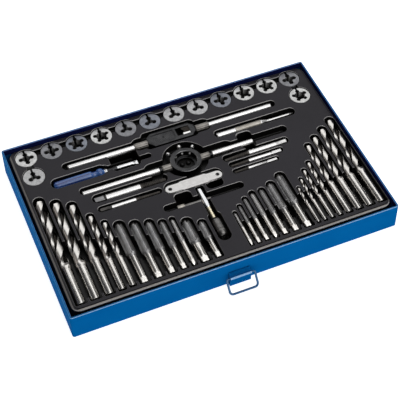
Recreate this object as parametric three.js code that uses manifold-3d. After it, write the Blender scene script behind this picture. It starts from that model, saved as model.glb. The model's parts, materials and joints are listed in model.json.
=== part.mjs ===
// Tap and die storage drawer: a folded sheet steel drawer with a drop handle, a moulded insert,
// and the loose thread cutting tools that lie in its pockets.
// Millimetres. X runs along the front from left to right, Y from the front to the back, Z up.
// The origin is the middle of the drawer's underside.
import * as THREE from "three";
import { mergeVertices } from "three/addons/utils/BufferGeometryUtils.js";
import Module from "manifold-3d";

const wasm = await Module();
wasm.setup();

// Clearances
const seat = 0.3; // gap between a piece and what carries it
const overrun = 5; // how far a cut runs past the surface it opens
const weld = 1e-4; // vertices closer than this are one

// Straight edges round a whole circle
const barSteps = 12;
const wireSteps = 8;
const holeSteps = 8;
const screwSteps = 10;
const ledgeSteps = 16;
const dieSteps = 18;
const ringSteps = 24;

// Straight edges along each rounded corner or bend
const slotBendSteps = 2;
const panBendSteps = 3;
const wireBendSteps = 3;
const insertBendSteps = 4;
const slotEndBendSteps = 4;
const beadBendSteps = 6;
const gaugeEndBendSteps = 8;

// Drawer
const drawer = { width: 384, depth: 253, height: 35, sheet: 1, cornerRadius: 2.5 };
const hem = { thickness: 2.1, height: 8 };

// Drop handle: a stamped bracket with a rolled bead, and a wire bail that turns in the bead
const handleX = -2.5;
const bracket = { width: 25, sheet: 1, flangeTop: 20.5, standOff: 4, bottom: 1 };
const bail = { wire: 2.5, span: 33, reach: 17.5, bend: 4, pivotZ: 14.6, clearance: 0.35 };
const wireEndGap = 2; // between the wire's two ends, which meet inside the bead
const beadTurn = { from: -Math.PI / 3, to: (2 * Math.PI) / 3 }; // how far the bracket wraps the wire

// Moulded insert
const insert = { wall: 1.6, cornerRadius: 10, drop: 6, edgeRound: 2 };
const insertGap = { left: 6.1, right: 2.5, front: 9.5, back: 2.6 };
const pocketGap = 0.9; // between a tool and the side of its pocket
const endGap = 2.6; // between a tool and the end of its pocket
const pocketWall = 2.6; // least wall between neighbouring pockets
const toolProud = 0.3; // how far the round tools stand above the insert
const slotRoundShare = 0.96; // how much of a slot's half width its ends are rounded by
const crownShare = 0.5; // how far the insert's rounded top edge draws in, as a share of its height

// Round dies, counted from the left end of the back row; the last two lie in front of the row's ends
const die = { diameter: 25.4, thickness: 9, slit: 1.2, recess: 0.8, gap: 0.6 };
const dieRow = { count: 12, pitch: 30.5, backLand: 1.2, frontStep: 30.5 };
const dieChannel = { width: 8, depth: 6 };
const lobeSteps = 3; // straight edges along the round of one lobe
const lobeSpreadShare = 0.98; // how much of a lobe's round is cut, the rest being its thread's flank
const smallThread = { lobes: 3, bore: 3.6, lobe: 5.2, reach: 5.1 };
const middleThread = { lobes: 4, bore: 7, lobe: 4.8, reach: 6.3 };
const largeThread = { lobes: 5, bore: 10.5, lobe: 4, reach: 7.4 };
const backDies = [
  { thread: middleThread, finish: "bright" },
  { thread: middleThread, finish: "grey" },
  { thread: largeThread, finish: "blued" },
  { thread: largeThread, finish: "bright" },
  { thread: smallThread, finish: "grey" },
  { thread: smallThread, finish: "blued" },
  { thread: smallThread, finish: "bright" },
  { thread: smallThread, finish: "bright" },
  { thread: middleThread, finish: "blued" },
  { thread: largeThread, finish: "bright" },
  { thread: largeThread, finish: "bright" },
  { thread: middleThread, finish: "grey" },
];
const frontDies = [
  { thread: smallThread, finish: "bright" },
  { thread: largeThread, finish: "bright" },
];

// Tools of the front row, in order from each side of the drawer towards its middle
const leftDrills = [
  { diameter: 12, shank: 10, length: 152, flutes: 104 },
  { diameter: 11.8, shank: 9.6, length: 142, flutes: 96 },
  { diameter: 11, shank: 9, length: 132, flutes: 86 },
  { diameter: 7.8, shank: 7, length: 108, flutes: 68 },
  { diameter: 6.8, shank: 6.2, length: 93, flutes: 54 },
];
const rightDrills = [
  { diameter: 10.6, shank: 9, length: 137, flutes: 90 },
  { diameter: 10.2, shank: 8.8, length: 127, flutes: 82 },
  { diameter: 8.8, shank: 8, length: 118, flutes: 74 },
  { diameter: 7.8, shank: 7.2, length: 109, flutes: 66 },
  { diameter: 5.6, shank: 5.2, length: 84, flutes: 50 },
  { diameter: 5, shank: 4.6, length: 75, flutes: 43 },
  { diameter: 4.2, shank: 3.9, length: 64, flutes: 35 },
  { diameter: 3.4, shank: 3.2, length: 53, flutes: 27 },
];
const leftTaps = [
  { thread: 12, shank: 8.6, square: 7, length: 86, threaded: 46 },
  { thread: 11.4, shank: 8.2, square: 6.8, length: 80, threaded: 44 },
  { thread: 10.2, shank: 7.4, square: 6, length: 75, threaded: 41 },
  { thread: 8.4, shank: 6, square: 5, length: 69, threaded: 37 },
  { thread: 5.8, shank: 5, square: 4, length: 68, threaded: 34 },
  { thread: 12.6, shank: 10.2, square: 8.2, length: 61, threaded: 33 },
  { thread: 9, shank: 6.4, square: 5.4, length: 52, threaded: 24 },
];
const rightTaps = [
  { thread: 11.6, shank: 8.4, square: 6.8, length: 81, threaded: 44 },
  { thread: 9.8, shank: 7.2, square: 5.8, length: 73, threaded: 40 },
  { thread: 7.8, shank: 5.8, square: 4.8, length: 68, threaded: 36 },
  { thread: 6.8, shank: 5.2, square: 4.3, length: 68, threaded: 35 },
  { thread: 5.8, shank: 4.8, square: 3.9, length: 63, threaded: 31 },
  { thread: 4.8, shank: 4.2, square: 3.4, length: 55, threaded: 26 },
  { thread: 3.8, shank: 3.6, square: 2.9, length: 48, threaded: 22 },
];
const tapSquareLength = 7;
const frontRow = { sideLand: { left: 4.9, right: 1.5 }, frontLand: 7.5 };
const drillPitchShare = 5.5; // length of one turn of the flutes, as a share of the diameter
const chamfer = 0.6;

// Tools that lie along the drawer. x is the left end, y the axis, both from the drawer's middle.
const screwdriver = {
  x: -151, y: 58.5, handle: 12.4, handleLength: 46, ferrule: 8, ferruleLength: 10, shank: 5.6, length: 101,
  slotEnd: 17,
};
const centrePunch = { x: 49, y: 58, body: 9, bodyLength: 64, pin: 3.4, length: 99 };
const extractors = {
  extractor_1: { x: -115.5, y: 19.5, large: 9.6, small: 5.6, square: 6.4, length: 85, spiral: 31 },
  extractor_2: { x: -114.5, y: 3.2, large: 5.4, small: 3, square: 4, length: 71, spiral: 29 },
  extractor_3: { x: 43, y: 18.5, large: 7.4, small: 4, square: 4.8, length: 78, spiral: 30, flip: true },
  extractor_4: { x: 46, y: 7, large: 5.4, small: 3, square: 4, length: 63, spiral: 22, flip: true },
  extractor_5: { x: 46, y: -3.6, large: 4.2, small: 2.2, square: 3, length: 53, spiral: 17, flip: true },
};
const extractorSquareLength = 12;

// Thread pitch gauge: a slim plate case with a leaf stack between its two screws
const gauge = { x: -3, y: 0.8, span: 58, end: 5.4, middle: 6.6, thickness: 3.2, screw: 3.4, shoulder: 17 };

// Bar tap wrench: a body with a window, a sliding jaw in it, and one turning handle
const wrench = { x: 0, y: 79, bodyLength: 60, bodyWidth: 21, bodyThickness: 9, chamfer: 6 };
const wrenchWindow = { x: 14.7, length: 17, width: 12 };
const wrenchJaw = { length: 9, gap: 0.35, boreDepth: 6.5 };
const wrenchHandle = { diameter: 7.6, collar: 9.4, collarLength: 17, length: 99, screw: 4.6 };
const wrenchPocket = { left: 5, right: 1.5, front: 2, back: 4, collarWidth: 19, ends: 5 };

// Die stock: a ring with a stepped bore and two handles
const stock = { x: 1, y: 35.6, ring: 37, bore: 26, ledge: 20, height: 11, ledgeHeight: 3 };
const stockHandle = {
  diameter: 7.8, collar: 9, collarLength: 11, neck: 6, neckLength: 3, left: 126, right: 85,
};
const stockPocket = { ring: 51, collarWidth: 20, left: 51, right: 60, end: 2.6 };

// T handle tap wrench: a shaft, a turning chuck on its front end, and a sliding cross bar
const tee = { x: -0.9, back: -8.5, shaft: 8.6, shaftLength: 46 };
const teeChuck = { diameter: 13.6, length: 27, bore: 6.8, boreDepth: 12, noseShare: 0.7 };
const teeBar = {
  diameter: 4.6, knob: 6.6, knobLength: 9, left: 32.5, right: 9, fromBack: 15.6, clearance: 0.3,
};
const teePocket = { barReach: 48.5, barWidth: 9.5, front: 9 };

// Finger pockets, each with its middle, size and the height of its floor above the drawer's floor
const fingerFloor = 5;
const fingerCorner = 5;
const finger = {
  driver: { x: -64, y: 66, length: 34, width: 31 },
  gauge: { x: 18, y: -8, length: 20, width: 16 },
  tee: { x: -22.5, y: -18.5, length: 20, width: 20 },
  stock: { x: 78, y: 37, length: 18, width: 26 },
};

// Derived places
const half = { x: drawer.width / 2, y: drawer.depth / 2 };
const landZ = drawer.height - insert.drop;
const insertBase = drawer.sheet + seat;
const insertEdge = {
  left: -half.x + insertGap.left,
  right: half.x - insertGap.right,
  front: -half.y + insertGap.front,
  back: half.y - insertGap.back,
};
const dieRowY = insertEdge.back - dieRow.backLand - die.gap - die.diameter / 2;
const dieTopZ = landZ - die.recess;
const dieFloorZ = dieTopZ - die.thickness - seat;
const frontRowY = insertEdge.front + frontRow.frontLand;

// Materials
const paint = { color: 0x0b62ad, roughness: 0.35, metalness: 0.1 };
const plastic = { color: 0x27262a, roughness: 0.45, metalness: 0 };
const brightSteel = { color: 0xd2d2d0, roughness: 0.22, metalness: 1 };
const greySteel = { color: 0x8f8f92, roughness: 0.4, metalness: 1 };
const bluedSteel = { color: 0x7f88a0, roughness: 0.35, metalness: 1 };
const darkSteel = { color: 0x2b2b2e, roughness: 0.5, metalness: 0.8 };
const bluePlastic = { color: 0x1d3f94, roughness: 0.2, metalness: 0 };
const dieFinishes = { bright: brightSteel, grey: greySteel, blued: bluedSteel };

const root = new THREE.Group();
root.name = "tap_and_die_drawer";

// Solids

function toSolid(geometry) {
  const bare = geometry.index ? geometry.toNonIndexed() : geometry.clone();
  bare.deleteAttribute("normal");
  bare.deleteAttribute("uv");
  const merged = mergeVertices(bare, weld);
  const corners = merged.index.array;
  const faces = [];
  for (let i = 0; i < corners.length; i += 3) {
    const [a, b, c] = corners.subarray(i, i + 3);
    if (a !== b && b !== c && c !== a) faces.push([a, b, c]);
  }
  const points = merged.attributes.position.array;
  let volume = 0;
  for (const face of faces) {
    const [p, q, r] = face.map((k) => new THREE.Vector3().fromArray(points, 3 * k));
    volume += p.dot(q.cross(r));
  }
  const turned = volume < 0 ? faces.map(([a, b, c]) => [a, c, b]) : faces;
  const triVerts = new Uint32Array(turned.flat());
  return new wasm.Manifold(new wasm.Mesh({ numProp: 3, vertProperties: points, triVerts }));
}

function toGeometry(solid) {
  const { vertProperties, triVerts } = solid.getMesh();
  const geometry = new THREE.BufferGeometry();
  geometry.setAttribute("position", new THREE.BufferAttribute(new Float32Array(vertProperties), 3));
  geometry.setIndex(new THREE.BufferAttribute(new Uint32Array(triVerts), 1));
  geometry.computeVertexNormals();
  return geometry;
}

function place(name, solid, look, parent = root) {
  const mesh = new THREE.Mesh(toGeometry(solid), new THREE.MeshStandardMaterial(look));
  mesh.name = name;
  parent.add(mesh);
  return mesh;
}

const join = (solids) => solids.reduce((sum, solid) => sum.add(solid));

const shifted = (solid, x, y, z) => solid.translate([x, y, z]);

// Outlines, as lists of points

function arc(x, y, radius, from, to, steps) {
  return Array.from({ length: steps + 1 }, (_, k) => {
    const angle = from + ((to - from) * k) / steps;
    return new THREE.Vector2(x + radius * Math.cos(angle), y + radius * Math.sin(angle));
  });
}

const circle = (x, y, radius, steps) => arc(x, y, radius, 0, 2 * Math.PI, steps).slice(0, -1);

function roundedRectangle(x0, x1, y0, y1, radius, steps) {
  const quarter = Math.PI / 2;
  return [
    [x1 - radius, y0 + radius],
    [x1 - radius, y1 - radius],
    [x0 + radius, y1 - radius],
    [x0 + radius, y0 + radius],
  ].flatMap(([x, y], k) => arc(x, y, radius, (k - 1) * quarter, k * quarter, steps));
}

const rectangle = (x0, x1, y0, y1) =>
  [[x0, y0], [x1, y0], [x1, y1], [x0, y1]].map(([x, y]) => new THREE.Vector2(x, y));

// An outline in the XY plane, raised between two heights
function prism(points, z0, z1) {
  const options = { depth: z1 - z0, bevelEnabled: false };
  return toSolid(new THREE.ExtrudeGeometry(new THREE.Shape(points), options).translate(0, 0, z0));
}

// Rings of equal point counts along +Y, joined into one closed skin.
// A ring is { at, points }, with each point's angle counted about +Y from +Z.
function loft(rings) {
  const count = rings[0].points.length;
  const positions = [];
  const faces = [];
  for (const { at, points } of rings) {
    for (const { x, y } of points) positions.push(x, at, y);
  }
  rings.slice(1).forEach((_, r) => {
    for (let k = 0; k < count; k++) {
      const [a, b] = [r * count + k, r * count + ((k + 1) % count)];
      const [c, d] = [a + count, b + count];
      faces.push(a, c, b, b, c, d);
    }
  });
  const caps = [[0, 1], [rings.length - 1, -1]];
  for (const [r, way] of caps) {
    const middle = positions.length / 3;
    positions.push(0, rings[r].at, 0);
    for (let k = 0; k < count; k++) {
      const [a, b] = [r * count + k, r * count + ((k + 1) % count)];
      faces.push(middle, ...(way > 0 ? [a, b] : [b, a]));
    }
  }
  const geometry = new THREE.BufferGeometry();
  geometry.setAttribute("position", new THREE.Float32BufferAttribute(positions, 3));
  geometry.setIndex(faces);
  return toSolid(geometry);
}

// One ring whose radius at each corner is a share of the given radius, turned about the axis
function ring(at, radius, shares, turn = 0) {
  const points = shares.map((share, k) => {
    const angle = turn + (2 * Math.PI * k) / shares.length;
    return new THREE.Vector2(radius * share * Math.sin(angle), radius * share * Math.cos(angle));
  });
  return { at, points };
}

const roundShares = (count) => Array(count).fill(1);

// A square drawn with as many corners as a bar; the radius given is half the size across its flats
const squareShares = Array.from({ length: barSteps }, (_, k) => {
  const angle = (2 * Math.PI * (k + 0.5)) / barSteps;
  return 1 / Math.max(Math.abs(Math.sin(angle)), Math.abs(Math.cos(angle)));
});
const squareTurn = Math.PI / barSteps;

// A turned bar along +Y from a list of [position, diameter]
function turned(steps, sides = barSteps) {
  return loft(steps.map(([at, diameter]) => ring(at, diameter / 2, roundShares(sides))));
}

// Turns a bar that runs along +Y so that it runs along +X
const alongX = (solid) => solid.rotate([0, 0, -90]);

// Drawer pan

function drawerOutline(inset) {
  const radius = drawer.cornerRadius - Math.min(inset, drawer.sheet);
  return roundedRectangle(-half.x + inset, half.x - inset, -half.y + inset, half.y - inset, radius, panBendSteps);
}

function drawerPan() {
  const shell = prism(drawerOutline(0), 0, drawer.height);
  const underHem = prism(drawerOutline(drawer.sheet), drawer.sheet, drawer.height - hem.height);
  const throughHem = prism(drawerOutline(hem.thickness), drawer.sheet, drawer.height + overrun);
  return shell.subtract(underHem).subtract(throughHem);
}

// Handle

const beadRadius = bail.wire / 2 + bail.clearance + bracket.sheet;
const pivotY = -half.y - seat - bracket.standOff;

// Profile of the bracket seen from its end: depth in front of the drawer, and height
function bracketProfile() {
  const face = half.y + seat;
  const back = face + bracket.sheet;
  const front = -pivotY;
  const slope = bail.pivotZ + beadRadius;
  return [
    [face, bracket.flangeTop],
    [face, slope],
    [front - beadRadius, bail.pivotZ],
    [front - bracket.sheet, bail.pivotZ - beadRadius],
    [front - bracket.sheet, bracket.bottom + bracket.sheet],
    [face, bracket.bottom + bracket.sheet],
    [face, bracket.bottom],
    [front, bracket.bottom],
    [front, bail.pivotZ - beadRadius],
    ...arc(front, bail.pivotZ, beadRadius, beadTurn.from, beadTurn.to, beadBendSteps).map(({ x, y }) => [x, y]),
    [back, slope + bracket.sheet],
    [back, bracket.flangeTop],
  ].map(([y, z]) => new THREE.Vector2(y, z));
}

function handleBracket() {
  const strip = prism(bracketProfile(), -bracket.width / 2, bracket.width / 2);
  const upright = strip.rotate([90, 0, 90]).rotate([0, 0, 180]);
  const wireHole = alongX(turned([
    [-bracket.width / 2 - overrun, bail.wire + 2 * bail.clearance],
    [bracket.width / 2 + overrun, bail.wire + 2 * bail.clearance],
  ]));
  return shifted(upright.subtract(shifted(wireHole, 0, pivotY, bail.pivotZ)), handleX, 0, 0);
}

// The bail rests with its bar on the surface that the drawer stands on
function handleBail() {
  const drop = bail.pivotZ - bail.wire / 2;
  const out = Math.sqrt(bail.reach ** 2 - drop ** 2);
  const at = (x, share) => new THREE.Vector3(x, pivotY - out * share, bail.pivotZ - drop * share);
  const bendShare = bail.bend / bail.reach;
  const side = bail.span / 2;
  const path = new THREE.CurvePath();
  const corner = (from, over, to) => path.add(new THREE.QuadraticBezierCurve3(from, over, to));
  const run = (from, to) => path.add(new THREE.LineCurve3(from, to));
  run(at(0, 0), at(-side + bail.bend / 2, 0));
  corner(at(-side + bail.bend / 2, 0), at(-side, 0), at(-side, bendShare / 2));
  run(at(-side, bendShare / 2), at(-side, 1 - bendShare));
  corner(at(-side, 1 - bendShare), at(-side, 1), at(-side + bail.bend, 1));
  run(at(-side + bail.bend, 1), at(side - bail.bend, 1));
  corner(at(side - bail.bend, 1), at(side, 1), at(side, 1 - bendShare));
  run(at(side, 1 - bendShare), at(side, bendShare / 2));
  corner(at(side, bendShare / 2), at(side, 0), at(side - bail.bend / 2, 0));
  run(at(side - bail.bend / 2, 0), at(wireEndGap, 0));
  const section = new THREE.Shape(circle(0, 0, bail.wire / 2, wireSteps));
  const points = path.curves.flatMap((curve, k) => {
    return curve.getPoints(k % 2 ? wireBendSteps : 1).slice(k ? 1 : 0);
  });
  return shifted(toSolid(sweep(points, section.getPoints())), handleX, 0, 0);
}

// A flat wire path swept by a section: every ring is square to the path, in the path's own plane
function sweep(points, section) {
  const normal = new THREE.Vector3().crossVectors(
    new THREE.Vector3(1, 0, 0),
    points[Math.floor(points.length / 2)].clone().sub(points[0]).setX(0),
  ).normalize();
  const positions = [];
  const faces = [];
  points.forEach((point, k) => {
    const before = points[Math.max(k - 1, 0)];
    const after = points[Math.min(k + 1, points.length - 1)];
    const into = point.clone().sub(before).normalize();
    const out = after.clone().sub(point).normalize();
    const along = into.clone().add(out).normalize();
    const across = new THREE.Vector3().crossVectors(normal, along);
    const widen = k > 0 && k < points.length - 1 ? 1 / along.dot(out) : 1;
    for (const { x, y } of section) {
      const corner = point.clone().addScaledVector(across, x * widen).addScaledVector(normal, y);
      positions.push(...corner.toArray());
    }
  });
  const count = section.length;
  for (let r = 0; r + 1 < points.length; r++) {
    for (let k = 0; k < count; k++) {
      const [a, b] = [r * count + k, r * count + ((k + 1) % count)];
      faces.push(a, b, a + count, b, b + count, a + count);
    }
  }
  for (let k = 1; k + 1 < count; k++) {
    const last = (points.length - 1) * count;
    faces.push(0, k + 1, k, last, last + k, last + k + 1);
  }
  const geometry = new THREE.BufferGeometry();
  geometry.setAttribute("position", new THREE.Float32BufferAttribute(positions, 3));
  geometry.setIndex(faces);
  return geometry;
}

// Insert pockets. Each pocket is cut from the insert, and a cup of the insert's wall is left round it.

const cuts = [];
const cups = [];

function cut(outline, floorZ) {
  cuts.push(prism(outline, floorZ, landZ + overrun));
}

function pocket(outline, floorZ) {
  cut(outline, floorZ);
  const xs = outline.map((point) => point.x);
  const ys = outline.map((point) => point.y);
  cup(Math.min(...xs), Math.max(...xs), Math.min(...ys), Math.max(...ys), floorZ);
}

function cup(x0, x1, y0, y1, floorZ) {
  const wall = insert.wall;
  const outline = rectangle(x0 - wall, x1 + wall, y0 - wall, y1 + wall);
  cups.push(prism(outline, floorZ - wall, landZ - wall / 2));
}

// A rectangle with its back end rounded
function roundEnd(x0, x1, y0, y1) {
  const radius = (x1 - x0) / 2;
  return [
    new THREE.Vector2(x0, y0),
    new THREE.Vector2(x1, y0),
    ...arc(x0 + radius, y1 - radius, radius, 0, Math.PI, slotEndBendSteps),
  ];
}

function slot(x0, x1, y0, y1, floorZ) {
  const radius = Math.min(x1 - x0, y1 - y0) / 2;
  pocket(roundedRectangle(x0, x1, y0, y1, radius * slotRoundShare, slotBendSteps), floorZ);
}

function fingerPocket({ x, y, length, width }) {
  const [x0, x1] = [x - length / 2, x + length / 2];
  const [y0, y1] = [y - width / 2, y + width / 2];
  pocket(roundedRectangle(x0, x1, y0, y1, fingerCorner, slotBendSteps), drawer.sheet + fingerFloor);
}

const roundAxisZ = (diameter) => landZ + toolProud - diameter / 2;

// Dies

function dieOutline({ lobes, bore, lobe, reach }) {
  const slitAngle = Math.PI / 2;
  const outerSlit = Math.asin(die.slit / die.diameter);
  const [outerStart, outerEnd] = [slitAngle + outerSlit, slitAngle - outerSlit + 2 * Math.PI];
  const outer = arc(0, 0, die.diameter / 2, outerStart, outerEnd, dieSteps);
  const spread = Math.asin(lobe / 2 / reach) * lobeSpreadShare;
  const innerSlit = Math.asin(die.slit / 2 / (reach + lobe / 2));
  const inner = [];
  for (let k = lobes; k >= 0; k--) {
    const middle = slitAngle + (2 * Math.PI * k) / lobes;
    const from = k === lobes ? -innerSlit : spread;
    const to = k === 0 ? innerSlit : -spread;
    for (let step = 0; step <= lobeSteps; step++) {
      const turn = from + ((to - from) * step) / lobeSteps;
      const radius = reach * Math.cos(turn) + Math.sqrt((lobe / 2) ** 2 - (reach * Math.sin(turn)) ** 2);
      inner.push(new THREE.Vector2(radius * Math.cos(middle + turn), radius * Math.sin(middle + turn)));
    }
    if (k > 0) {
      const next = middle - (2 * Math.PI) / lobes;
      inner.push(...arc(0, 0, bore / 2, middle - spread, next + spread, 1));
    }
  }
  return [...outer, ...inner];
}

function addDie(name, { thread, finish }, x, y) {
  const solid = prism(dieOutline(thread), dieTopZ - die.thickness, dieTopZ);
  place(name, solid, dieFinishes[finish]).position.set(x, y, 0);
  pocket(circle(x, y, die.diameter / 2 + die.gap, dieSteps), dieFloorZ);
}

function addDies() {
  const firstX = -((dieRow.count - 1) * dieRow.pitch) / 2;
  const names = [...backDies, ...frontDies].map((_, k) => "die_" + String(k + 1).padStart(2, "0"));
  backDies.forEach((kind, k) => addDie(names[k], kind, firstX + k * dieRow.pitch, dieRowY));
  frontDies.forEach((kind, k) => {
    addDie(names[backDies.length + k], kind, (k ? -1 : 1) * firstX, dieRowY - dieRow.frontStep);
  });
  const channelFloor = landZ - dieChannel.depth;
  slot(firstX, -firstX, dieRowY, dieRowY + dieChannel.width, channelFloor);
  for (const x of [firstX, -firstX]) {
    const [x0, x1] = [x - dieChannel.width / 2, x + dieChannel.width / 2];
    slot(x0, x1, dieRowY - dieRow.frontStep, dieRowY, channelFloor);
  }
}

// Drills and taps of the front row

const fluteShares = [1, 1, 0.5, 0.4, 0.7, 1, 1, 0.5, 0.4, 0.7];
const tapShares = [1, 1, 0.6, 1, 1, 0.6, 1, 1, 0.6, 1, 1, 0.6];
const tipShare = 0.12; // width of a drill's chisel edge, as a share of its diameter
const tapTipShare = 0.78; // width of a tap's tip, as a share of its thread
const pointShare = 0.3; // height of a drill's point, as a share of its diameter
const turnSteps = 6; // rings in one turn of the flutes

function drillSolid({ diameter, shank, length, flutes }) {
  const radius = diameter / 2;
  const round = roundShares(fluteShares.length);
  const pitch = diameter * drillPitchShare;
  const point = diameter * pointShare;
  const start = length - flutes;
  const first = start + diameter;
  const last = length - point;
  const steps = Math.max(1, Math.round(((last - first) / pitch) * turnSteps));
  const turnAt = (at) => (2 * Math.PI * at) / pitch;
  const rings = [
    ring(0, shank / 2 - chamfer, round),
    ring(chamfer, shank / 2, round),
    ring(start, shank / 2, round, turnAt(start)),
  ];
  for (let k = 0; k <= steps; k++) {
    const at = first + ((last - first) * k) / steps;
    rings.push(ring(at, radius, fluteShares, turnAt(at)));
  }
  rings.push(ring(length, radius * tipShare, round, turnAt(last)));
  return loft(rings);
}

function tapSolid({ thread, shank, square, length, threaded }) {
  const round = roundShares(tapShares.length);
  const start = length - threaded;
  const lead = thread / 2;
  return loft([
    ring(0, square / 2 - chamfer, squareShares, squareTurn),
    ring(chamfer, square / 2, squareShares, squareTurn),
    ring(tapSquareLength, square / 2, squareShares, squareTurn),
    ring(tapSquareLength + chamfer, shank / 2, round, squareTurn),
    ring(start - chamfer, shank / 2, round, squareTurn),
    ring(start, thread / 2, tapShares, squareTurn),
    ring(length - lead, thread / 2, tapShares, squareTurn),
    ring(length, (thread / 2) * tapTipShare, tapShares, squareTurn),
  ]);
}

// Pockets follow one another from the side of the insert inwards. Each has a deep floor under the
// cutting end and a higher one under the shank.
function addFrontRow(tools, edge, way) {
  let x = edge;
  for (const { name, solid, width, shank, length, cutting, look } of tools) {
    const halfWidth = width / 2 + pocketGap;
    x += way * halfWidth;
    const axis = roundAxisZ(width);
    const [y0, y1] = [frontRowY, frontRowY + length + 2 * endGap];
    place(name, solid, look).position.set(x, y0 + endGap, axis);
    const stepY = y1 - endGap - cutting - chamfer - endGap;
    cut(rectangle(x - halfWidth, x + halfWidth, y0, stepY + overrun), axis - shank / 2 - seat);
    cut(roundEnd(x - halfWidth, x + halfWidth, stepY, y1), axis - width / 2 - seat);
    cup(x - halfWidth, x + halfWidth, y0, y1, axis - width / 2 - seat);
    x += way * (halfWidth + pocketWall);
  }
}

function addDrillsAndTaps() {
  const drillRow = (drills, prefix) => drills.map((drill, k) => ({
    name: prefix + (k + 1),
    solid: drillSolid(drill),
    width: drill.diameter,
    shank: drill.shank,
    length: drill.length,
    cutting: drill.flutes,
    look: brightSteel,
  }));
  const tapRow = (taps, prefix) => taps.map((tap, k) => ({
    name: prefix + (k + 1),
    solid: tapSolid(tap),
    width: tap.thread,
    shank: Math.max(tap.shank, tap.square * Math.SQRT2),
    length: tap.length,
    cutting: tap.threaded,
    look: greySteel,
  }));
  const left = [...drillRow(leftDrills, "drill_left_"), ...tapRow(leftTaps, "tap_left_")];
  const right = [...drillRow(rightDrills, "drill_right_"), ...tapRow(rightTaps, "tap_right_")];
  addFrontRow(left, insertEdge.left + frontRow.sideLand.left, 1);
  addFrontRow(right, insertEdge.right - frontRow.sideLand.right, -1);
}

// Tools along the drawer: a slot with a step where the tool narrows

function slotAlong(x0, x1, y, diameter, axisZ) {
  const side = diameter / 2 + pocketGap;
  slot(x0, x1, y - side, y + side, axisZ - diameter / 2 - seat);
}

function addScrewdriver() {
  const { x, y, handle, handleLength, ferrule, ferruleLength, shank, length, slotEnd } = screwdriver;
  const neck = handleLength + ferruleLength;
  const solid = turned([
    [0, handle / 2],
    [handle / 4, handle],
    [handleLength - handle / 2, handle],
    [handleLength, ferrule],
    [neck, ferrule],
    [neck + chamfer, shank],
    [length - shank, shank],
    [length, shank / 2],
  ]);
  const axis = roundAxisZ(handle);
  place("screwdriver", alongX(solid), bluePlastic).position.set(x, y, axis);
  slotAlong(x - endGap, x + neck + endGap, y, handle, axis);
  slotAlong(x, x + length + slotEnd, y, ferrule, axis);
  fingerPocket(finger.driver);
}

function addCentrePunch() {
  const { x, y, body, bodyLength, pin, length } = centrePunch;
  const solid = turned([
    [0, body - 2 * chamfer],
    [chamfer, body],
    [bodyLength - body, body],
    [bodyLength, pin],
    [length - pin, pin],
    [length, chamfer],
  ]);
  const axis = roundAxisZ(body);
  place("centre_punch", alongX(solid), brightSteel).position.set(x, y, axis);
  slotAlong(x - endGap, x + length + endGap, y, body, axis);
}

const spiralShares = [1, 0.72, 1, 0.72, 1, 0.72, 1, 0.72];
const spiralTurnsPerRing = -1 / 10; // the flutes of an extractor wind to the left
const spiralRings = 4;

function extractorSolid({ large, small, square, length, spiral }) {
  const round = roundShares(spiralShares.length);
  const squared = spiralShares.map((_, k) => (k % 2 ? Math.SQRT2 : 1));
  const start = length - spiral;
  const rings = [
    ring(0, square / 2, squared),
    ring(extractorSquareLength, square / 2, squared),
    ring(extractorSquareLength + chamfer, large / 2, round),
    ring(start, large / 2, round),
  ];
  for (let k = 0; k <= spiralRings; k++) {
    const share = k / spiralRings;
    const at = start + chamfer + (spiral - chamfer) * share;
    const radius = THREE.MathUtils.lerp(large, small, share) / 2;
    rings.push(ring(at, radius, spiralShares, 2 * Math.PI * spiralTurnsPerRing * k));
  }
  return loft(rings);
}

function addExtractors() {
  for (const [name, tool] of Object.entries(extractors)) {
    const axis = roundAxisZ(Math.max(tool.large, tool.square * Math.SQRT2));
    const mesh = place(name, alongX(extractorSolid(tool)), brightSteel);
    mesh.rotation.z = tool.flip ? Math.PI : 0;
    mesh.position.set(tool.x + (tool.flip ? tool.length : 0), tool.y, axis);
    const width = Math.max(tool.large, tool.square * Math.SQRT2);
    slotAlong(tool.x - endGap, tool.x + tool.length + endGap, tool.y, width, axis);
  }
}

// Thread pitch gauge

function addGauge() {
  const { x, y, span, end, middle, thickness, screw, shoulder } = gauge;
  const top = landZ - seat;
  const side = span / 2;
  const outline = [
    ...arc(side, 0, end, -Math.PI / 2, Math.PI / 2, gaugeEndBendSteps),
    new THREE.Vector2(shoulder, end),
    new THREE.Vector2(shoulder - end / 2, middle),
    new THREE.Vector2(-shoulder + end / 2, middle),
    new THREE.Vector2(-shoulder, end),
    ...arc(-side, 0, end, Math.PI / 2, (3 * Math.PI) / 2, gaugeEndBendSteps),
    new THREE.Vector2(-shoulder, -end),
    new THREE.Vector2(-shoulder + end / 2, -middle),
    new THREE.Vector2(shoulder - end / 2, -middle),
    new THREE.Vector2(shoulder, -end),
  ];
  const hole = prism(circle(0, 0, screw / 2, holeSteps), top - thickness - overrun, top + overrun);
  const plate = prism(outline, top - thickness, top)
    .subtract(shifted(hole, side, 0, 0))
    .subtract(shifted(hole, -side, 0, 0));
  place("thread_pitch_gauge", plate, brightSteel).position.set(x, y, 0);
  const reach = side + end + pocketGap;
  const width = middle + pocketGap;
  slot(x - reach, x + reach, y - width, y + width + endGap, top - thickness - seat);
  fingerPocket(finger.gauge);
}

// Bar tap wrench

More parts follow.
